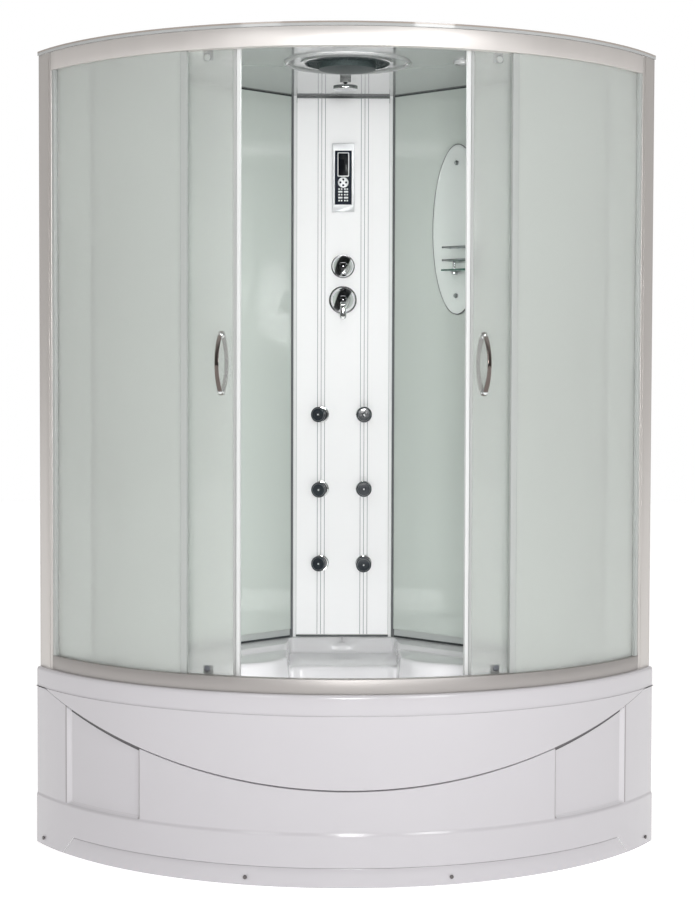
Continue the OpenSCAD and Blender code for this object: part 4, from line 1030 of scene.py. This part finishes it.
# Jets: ball and neck with a wide glossy face, a pale ring and a small tip.
# Each jet has its X and Z in mm and its nod and swing at rest in degrees.
JETS = [(-66, 1160, 0, -22), (66, 1160, 0, 0), (-66, 931, 6, -17),
        (66, 931, 0, 0), (-66, 702, 2, -17), (66, 702, 10, 0)]
BALL_R = 18
FACE_OUTLINE = [(9, 16), (9, 18), (21, 18.4), (23, 19.5), (23.5, 21), (23.5, 24.2), (23, 25.6),
                (21.8, 26.4), (20.2, 26.6), (19.6, 26.0), (18.6, 26.0), (18.0, 26.6), (12, 26.9),
                (6.5, 26.9), (5.6, 26.2), (4.6, 25.0), (0, 24.8)]
RING_OUTLINE = [(19.7, 26.0), (19.6, 26.45), (18.7, 26.45), (18.6, 26.0)]
TIP_OUTLINE = [(0, 24.6), (2.4, 24.6), (2.4, 26.4), (1.6, 27.0), (0, 27.0)]


def make_jet(number, x, z, nod, swing):
    place = Matrix.Translation((x * MM, FACE_Y, z * MM))
    place = place @ Matrix.Rotation(math.radians(swing), 4, "Z")
    place = place @ Matrix.Rotation(math.radians(nod + 90), 4, "X")
    body = f"jet_{number}"
    outline = [(0, -BALL_R)]
    for degrees in range(10, 150, 10):
        turn = math.radians(degrees)
        outline.append((BALL_R * math.sin(turn), -BALL_R * math.cos(turn)))
    pieces = [
        lathe(f"jet_face_{number}", outline + FACE_OUTLINE, place, JET, body, count=72, angle=30),
        lathe(f"jet_ring_{number}", RING_OUTLINE, place, DISC, body, count=72),
        lathe(f"jet_tip_{number}", TIP_OUTLINE, place, KEYS, body, count=32),
    ]
    for piece in pieces:
        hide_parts(f"jet_nozzle_{number}")


for i, (x, z, nod, swing) in enumerate(JETS):
    make_jet(i + 1, x, z, nod, swing)


# Control unit: dark glass with a framed display, a round pad and a sealed key field
CONTROL_Z = 1884 * MM
PANEL_HALF_W = 25.2
PANEL_HALF_H = 81.7
PANEL_BACK = 7
PANEL_OUT = 11.5
PANEL_EDGE = 0.8 * MM
PAD_Z = CONTROL_Z - 15 * MM
HOLE_OUTLINE = [(0, 6), (16.3, 6), (16.3, 14), (0, 14)]
PAD_OUTLINE = [(0, 6), (16, 6), (16, 13), (15.3, 13.8), (14, 14), (6, 14.3), (0, 14.3)]
DISPLAY_Y = 39.75
DISPLAY_W = 36
DISPLAY_H = 74
DISPLAY_RIM = 3
DISPLAY_CORNER = 4
SCREEN_CORNER = 2.5
FRAME_LOW = 11.2
FRAME_HIGH = 12.3
SCREEN_LOW = 12.0
SCREEN_HIGH = 12.45

# Keys: width, height and corner radius of the two kinds
WIDE_KEY = (13, 5.4, 1.2)
SMALL_KEY = (4.8, 4.8, 1.4)
KEY_ROWS = (-35, -43, -52, -61, -70)
KEY_SIDE_X = 8.7
KEY_PAIR_X = 3.7
KEY_LOW = 11.3
KEY_HIGH = 12.2
PETAL_R = 3.3
MIDDLE_R = 2.2
PETAL_AT = 8.6
PETAL_LOW = 13.9
PETAL_HIGH = 14.7
PETAL_EDGE = 0.3
LEAST_LENGTH = 0.001


def plate(name, outline, low, high, place, look, body="cabin", edge=0.4, steps=3):
    """Flat plate from a 2-D outline in millimetres, raised along local Z, with rounded edges."""
    rings = [(0, low)]
    for k in range(steps + 1):
        t = math.pi / 2 * k / steps
        rings.append((edge * (1 - math.cos(t)), high - edge + edge * math.sin(t)))
    middle = Vector((sum(p[0] for p in outline) / len(outline), sum(p[1] for p in outline) / len(outline)))
    points = []
    for inset, height in rings:
        for p in outline:
            flat = Vector(p) - middle
            flat = flat * max(0.0, 1 - inset / max(flat.length, LEAST_LENGTH)) + middle
            points.append(place @ Vector((flat.x * MM, flat.y * MM, height * MM)))
    return add_mesh(name, points, tube_faces(len(rings), len(outline)), look, body, angle=30)


def box_outline(width, height, radius, x, y):
    return rounded([(x + i * width / 2, y + k * height / 2) for i, k in SQUARE], radius, steps=5)


def circle_outline(radius, x, y, count=24):
    turns = [2 * math.pi * i / count for i in range(count)]
    return [(x + radius * math.cos(turn), y + radius * math.sin(turn)) for turn in turns]


def key(size, x, y, place):
    return plate("key", box_outline(*size, x, y), KEY_LOW, KEY_HIGH, place, KEYS)


def key_field(place):
    """Rows of two wide keys between rows of four small ones."""
    keys = []
    for row, height in enumerate(KEY_ROWS):
        for side in (-1, 1):
            if row % 2:
                keys.append(key(WIDE_KEY, side * KEY_SIDE_X, height, place))
            else:
                for half in (-1, 1):
                    keys.append(key(SMALL_KEY, side * KEY_SIDE_X + half * KEY_PAIR_X, height, place))
    return join("control_keys", keys)


def control_glass(place, pad_at):
    """Dark front with a round hole for the pad."""
    low = (-PANEL_HALF_W * MM, -PANEL_HALF_H * MM, PANEL_BACK * MM)
    high = (PANEL_HALF_W * MM, PANEL_HALF_H * MM, PANEL_OUT * MM)
    panel = block("control_glass", low, high, DARK, place, PANEL_EDGE)
    carve(panel, lathe("pad_hole", HOLE_OUTLINE, pad_at, DARK))
    smooth(panel, 30)
    return panel


def petal(radius, x, y, pad_at, look):
    outline = circle_outline(radius, x, y)
    return plate("petal", outline, PETAL_LOW, PETAL_HIGH, pad_at, look, "button", PETAL_EDGE)


def make_controls():
    place = facing(0, FACE_Y, CONTROL_Z)
    pad_at = facing(0, FACE_Y, PAD_Z)
    panel = control_glass(place, pad_at)
    rim = box_outline(DISPLAY_W, DISPLAY_H, DISPLAY_CORNER, 0, DISPLAY_Y)
    width, height = DISPLAY_W - 2 * DISPLAY_RIM, DISPLAY_H - 2 * DISPLAY_RIM
    inner = box_outline(width, height, SCREEN_CORNER, 0, DISPLAY_Y)
    frame_out = plate("display_frame", rim, FRAME_LOW, FRAME_HIGH, place, SILVER, edge=0.5)
    screen = plate("display_screen", inner, SCREEN_LOW, SCREEN_HIGH, place, SCREEN, edge=0.2)
    for piece in (panel, frame_out, screen, key_field(place)):
        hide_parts("control_panel")
    pad = lathe("pad_ring", PAD_OUTLINE, pad_at, SILVER, "button")
    petals = []
    for i in range(4):
        turn = math.pi / 2 * i
        x, y = PETAL_AT * math.cos(turn), PETAL_AT * math.sin(turn)
        petals.append(petal(PETAL_R, x, y, pad_at, DARK))
    petals.append(petal(MIDDLE_R, 0, 0, pad_at, KEYS))
    marks = join("pad_marks", petals, "button")
    for piece in (pad, marks):
        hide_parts("nav_button")


make_controls()


# Mixer: chrome dome with a bent lever
MIXER_Z = 1511 * MM
CAP_OUTLINE = [(0, 6.6), (36.5, 6.6), (38, 8.2), (38, 12)] + dome(38, 12, 0, 44, 16)

LEVER_ROUND = 0.8
LEVER_CREASE = 60

# Stations along the lever: height, distance from the column, half width and half thickness in mm
LEVER_PATH = [(0, 30, 9, 4), (-6, 41, 9, 5), (-14, 47, 9, 4.5), (-26, 49.2, 9, 3.4),
              (-38, 49.6, 9.5, 2.8), (-50, 49.4, 10, 2.6), (-56, 49.2, 8.6, 2.4), (-59.4, 49, 4.5, 1.4)]


def make_mixer():
    place = facing(0, FACE_Y, MIXER_Z)
    cap = lathe("mixer_cap", CAP_OUTLINE, place, PAINTED_REFLECTION_DOME, "mixer", count=96, angle=40)
    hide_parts("mixer_dome")
    section = rounded(SQUARE, LEVER_ROUND)
    points = []
    for y, out, half_width, half_depth in LEVER_PATH:
        for u, v in section:
            points.append(place @ Vector((u * half_width * MM, y * MM, (out + v * half_depth) * MM)))
    faces = tube_faces(len(LEVER_PATH), len(section))
    arm = add_mesh("lever_arm", points, faces, CHROME, "lever", angle=LEVER_CREASE)
    soften = arm.modifiers.new("soften", "SUBSURF")
    soften.levels = soften.render_levels = 2
    apply_modifiers(arm)
    smooth(arm, LEVER_CREASE)
    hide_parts("mixer_lever")


make_mixer()


# Diverter: a shallow chrome dome
DIVERTER_Z = 1614 * MM
GRIP_OUTLINE = [(0, 6.6), (31.5, 6.6), (33, 8), (33, 10)] + dome(33, 10, 0, 31.6, 16)


def make_diverter():
    place = facing(0, FACE_Y, DIVERTER_Z)
    knob = lathe("diverter_grip", GRIP_OUTLINE, place, PAINTED_REFLECTION_DOME, "diverter", count=96, angle=40)
    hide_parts("diverter_knob")


make_diverter()


# Oval mirror with a bevelled edge
MIRROR_Z = 1714 * MM
WALL_START = 234.734 * MM
MIRROR_AT = 268 * MM
WALL_FACE = 22.6 * MM
MIRROR_HALF_W = 97.5
MIRROR_HALF_H = 252.5
MIRROR_TURNS = 160
EDGE_ROWS = 4

# Rings of the mirror: distance in from its outline and height over the wall in mm
MIRROR_RINGS = [(0.6, 3), (0, 3.4), (0, 5.6), (0.4, 5.8), (2.8, 6.05), (9, 7), (11, 7)]


def make_mirror():
    """Bevelled disc on the right wall, with a dark rim."""
    wall = Matrix.Translation((0, REAR_Y, 0)) @ Matrix.Rotation(math.radians(-45), 4, "Z")
    place = wall @ Matrix.Translation((WALL_START + MIRROR_AT, -WALL_FACE, MIRROR_Z))
    place = place @ Matrix.Rotation(math.pi / 2, 4, "X")
    points = []
    for inset, height in MIRROR_RINGS:
        for i in range(MIRROR_TURNS):
            turn = 2 * math.pi * i / MIRROR_TURNS
            x, y = (MIRROR_HALF_W - inset) * math.cos(turn), (MIRROR_HALF_H - inset) * math.sin(turn)
            points.append(place @ Vector((x * MM, y * MM, height * MM)))
    faces = tube_faces(len(MIRROR_RINGS), MIRROR_TURNS)
    glass = add_mesh("mirror_oval", points, faces, MIRROR, angle=8)
    glass.data.materials.append(PAINTED_SHADOW_AND_DARK_RIM)
    for face in glass.data.polygons[:EDGE_ROWS * MIRROR_TURNS]:
        face.material_index = 1
    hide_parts("oval_mirror")


make_mirror()


# Stage and lights
def add_light(name, data, at, toward, power):
    data.energy = power
    lamp = bpy.data.objects.new(name, data)
    lamp.location = at
    lamp.rotation_euler = (Vector(toward) - Vector(at)).to_track_quat("-Z", "Y").to_euler()
    scene.collection.objects.link(lamp)


def area_light(name, at, toward, size, power):
    data = bpy.data.lights.new(name, "AREA")
    data.shape = "RECTANGLE"
    data.size, data.size_y = size
    add_light(name, data, at, toward, power)


def spot_light(name, at, toward, angle, radius, power):
    data = bpy.data.lights.new(name, "SPOT")
    data.spot_size = math.radians(angle)
    data.spot_blend = 1.0
    data.shadow_soft_size = radius
    add_light(name, data, at, toward, power)


# Tones of the world's colour ramp, from behind the camera to behind the cabin
WORLD_TONES = [(0.0, (0.12, 0.12, 0.12)), (0.09, (0.14, 0.14, 0.14)), (0.24, (0.40, 0.39, 0.38)),
               (0.45, (0.55, 0.54, 0.53)), (0.90, (0.62, 0.61, 0.60)), (0.96, (1, 1, 1))]


def make_world():
    """White behind the cabin, mid grey at the sides and darker behind the camera."""
    world = bpy.data.worlds.new("studio")
    world.use_nodes = True
    tree = world.node_tree
    place = tree.nodes.new("ShaderNodeTexCoord")
    split = tree.nodes.new("ShaderNodeSeparateXYZ")
    share = tree.nodes.new("ShaderNodeMapRange")
    share.inputs["From Min"].default_value = -1
    ramp = tree.nodes.new("ShaderNodeValToRGB")
    tree.links.new(place.outputs["Generated"], split.inputs["Vector"])
    tree.links.new(split.outputs["Y"], share.inputs["Value"])
    tree.links.new(share.outputs["Result"], ramp.inputs["Fac"])
    tree.links.new(ramp.outputs["Color"], tree.nodes["Background"].inputs["Color"])
    stops = ramp.color_ramp.elements
    stops[0].position = WORLD_TONES[0][0]
    stops[1].position = WORLD_TONES[-1][0]
    for position, tone in WORLD_TONES[1:-1]:
        stops.new(position)
    for stop, (position, tone) in zip(stops, WORLD_TONES):
        stop.color = (*tone, 1)
    scene.world = world


FLOOR_REACH = 14
FLOOR_DROP = 0.5 * MM
FLOOR_GLOW = 0.55


def make_stage():
    mesh = bpy.data.meshes.new("floor")
    corners = [(x * FLOOR_REACH, y * FLOOR_REACH, 0) for x, y in SQUARE]
    mesh.from_pydata(corners, [], [(0, 1, 2, 3)])
    paint = material("floor_paint", (0.90, 0.90, 0.90), 0.7, spread=0.01, scale=1)
    shader = paint.node_tree.nodes["Principled BSDF"]
    shader.inputs["Emission Color"].default_value = (1, 1, 1, 1)
    shader.inputs["Emission Strength"].default_value = FLOOR_GLOW
    mesh.materials.append(paint)
    floor = bpy.data.objects.new("floor", mesh)
    floor.location.z = -FLOOR_DROP
    scene.collection.objects.link(floor)
    make_world()
    spot_light("flash", (0.15, -5.7, 1.75), (0.03, 0.3, 1.2), angle=42, radius=0.3, power=425)
    area_light("left_box", (-3.1, -6.0, 3.2), (0, 0, 1.1), size=(1.5, 3.2), power=46)
    area_light("right_box", (3.1, -6.0, 3.2), (0, 0, 1.1), size=(1.5, 3.2), power=118)
    area_light("top_strip", (0, -0.52, 2.118), (0, 0.1, 0.5), size=(0.8, 0.06), power=3.0)
    area_light("well_fill", (0, -0.48, 0.44), (0, 0.5, 0.75), size=(0.9, 0.08), power=2.8)


make_stage()
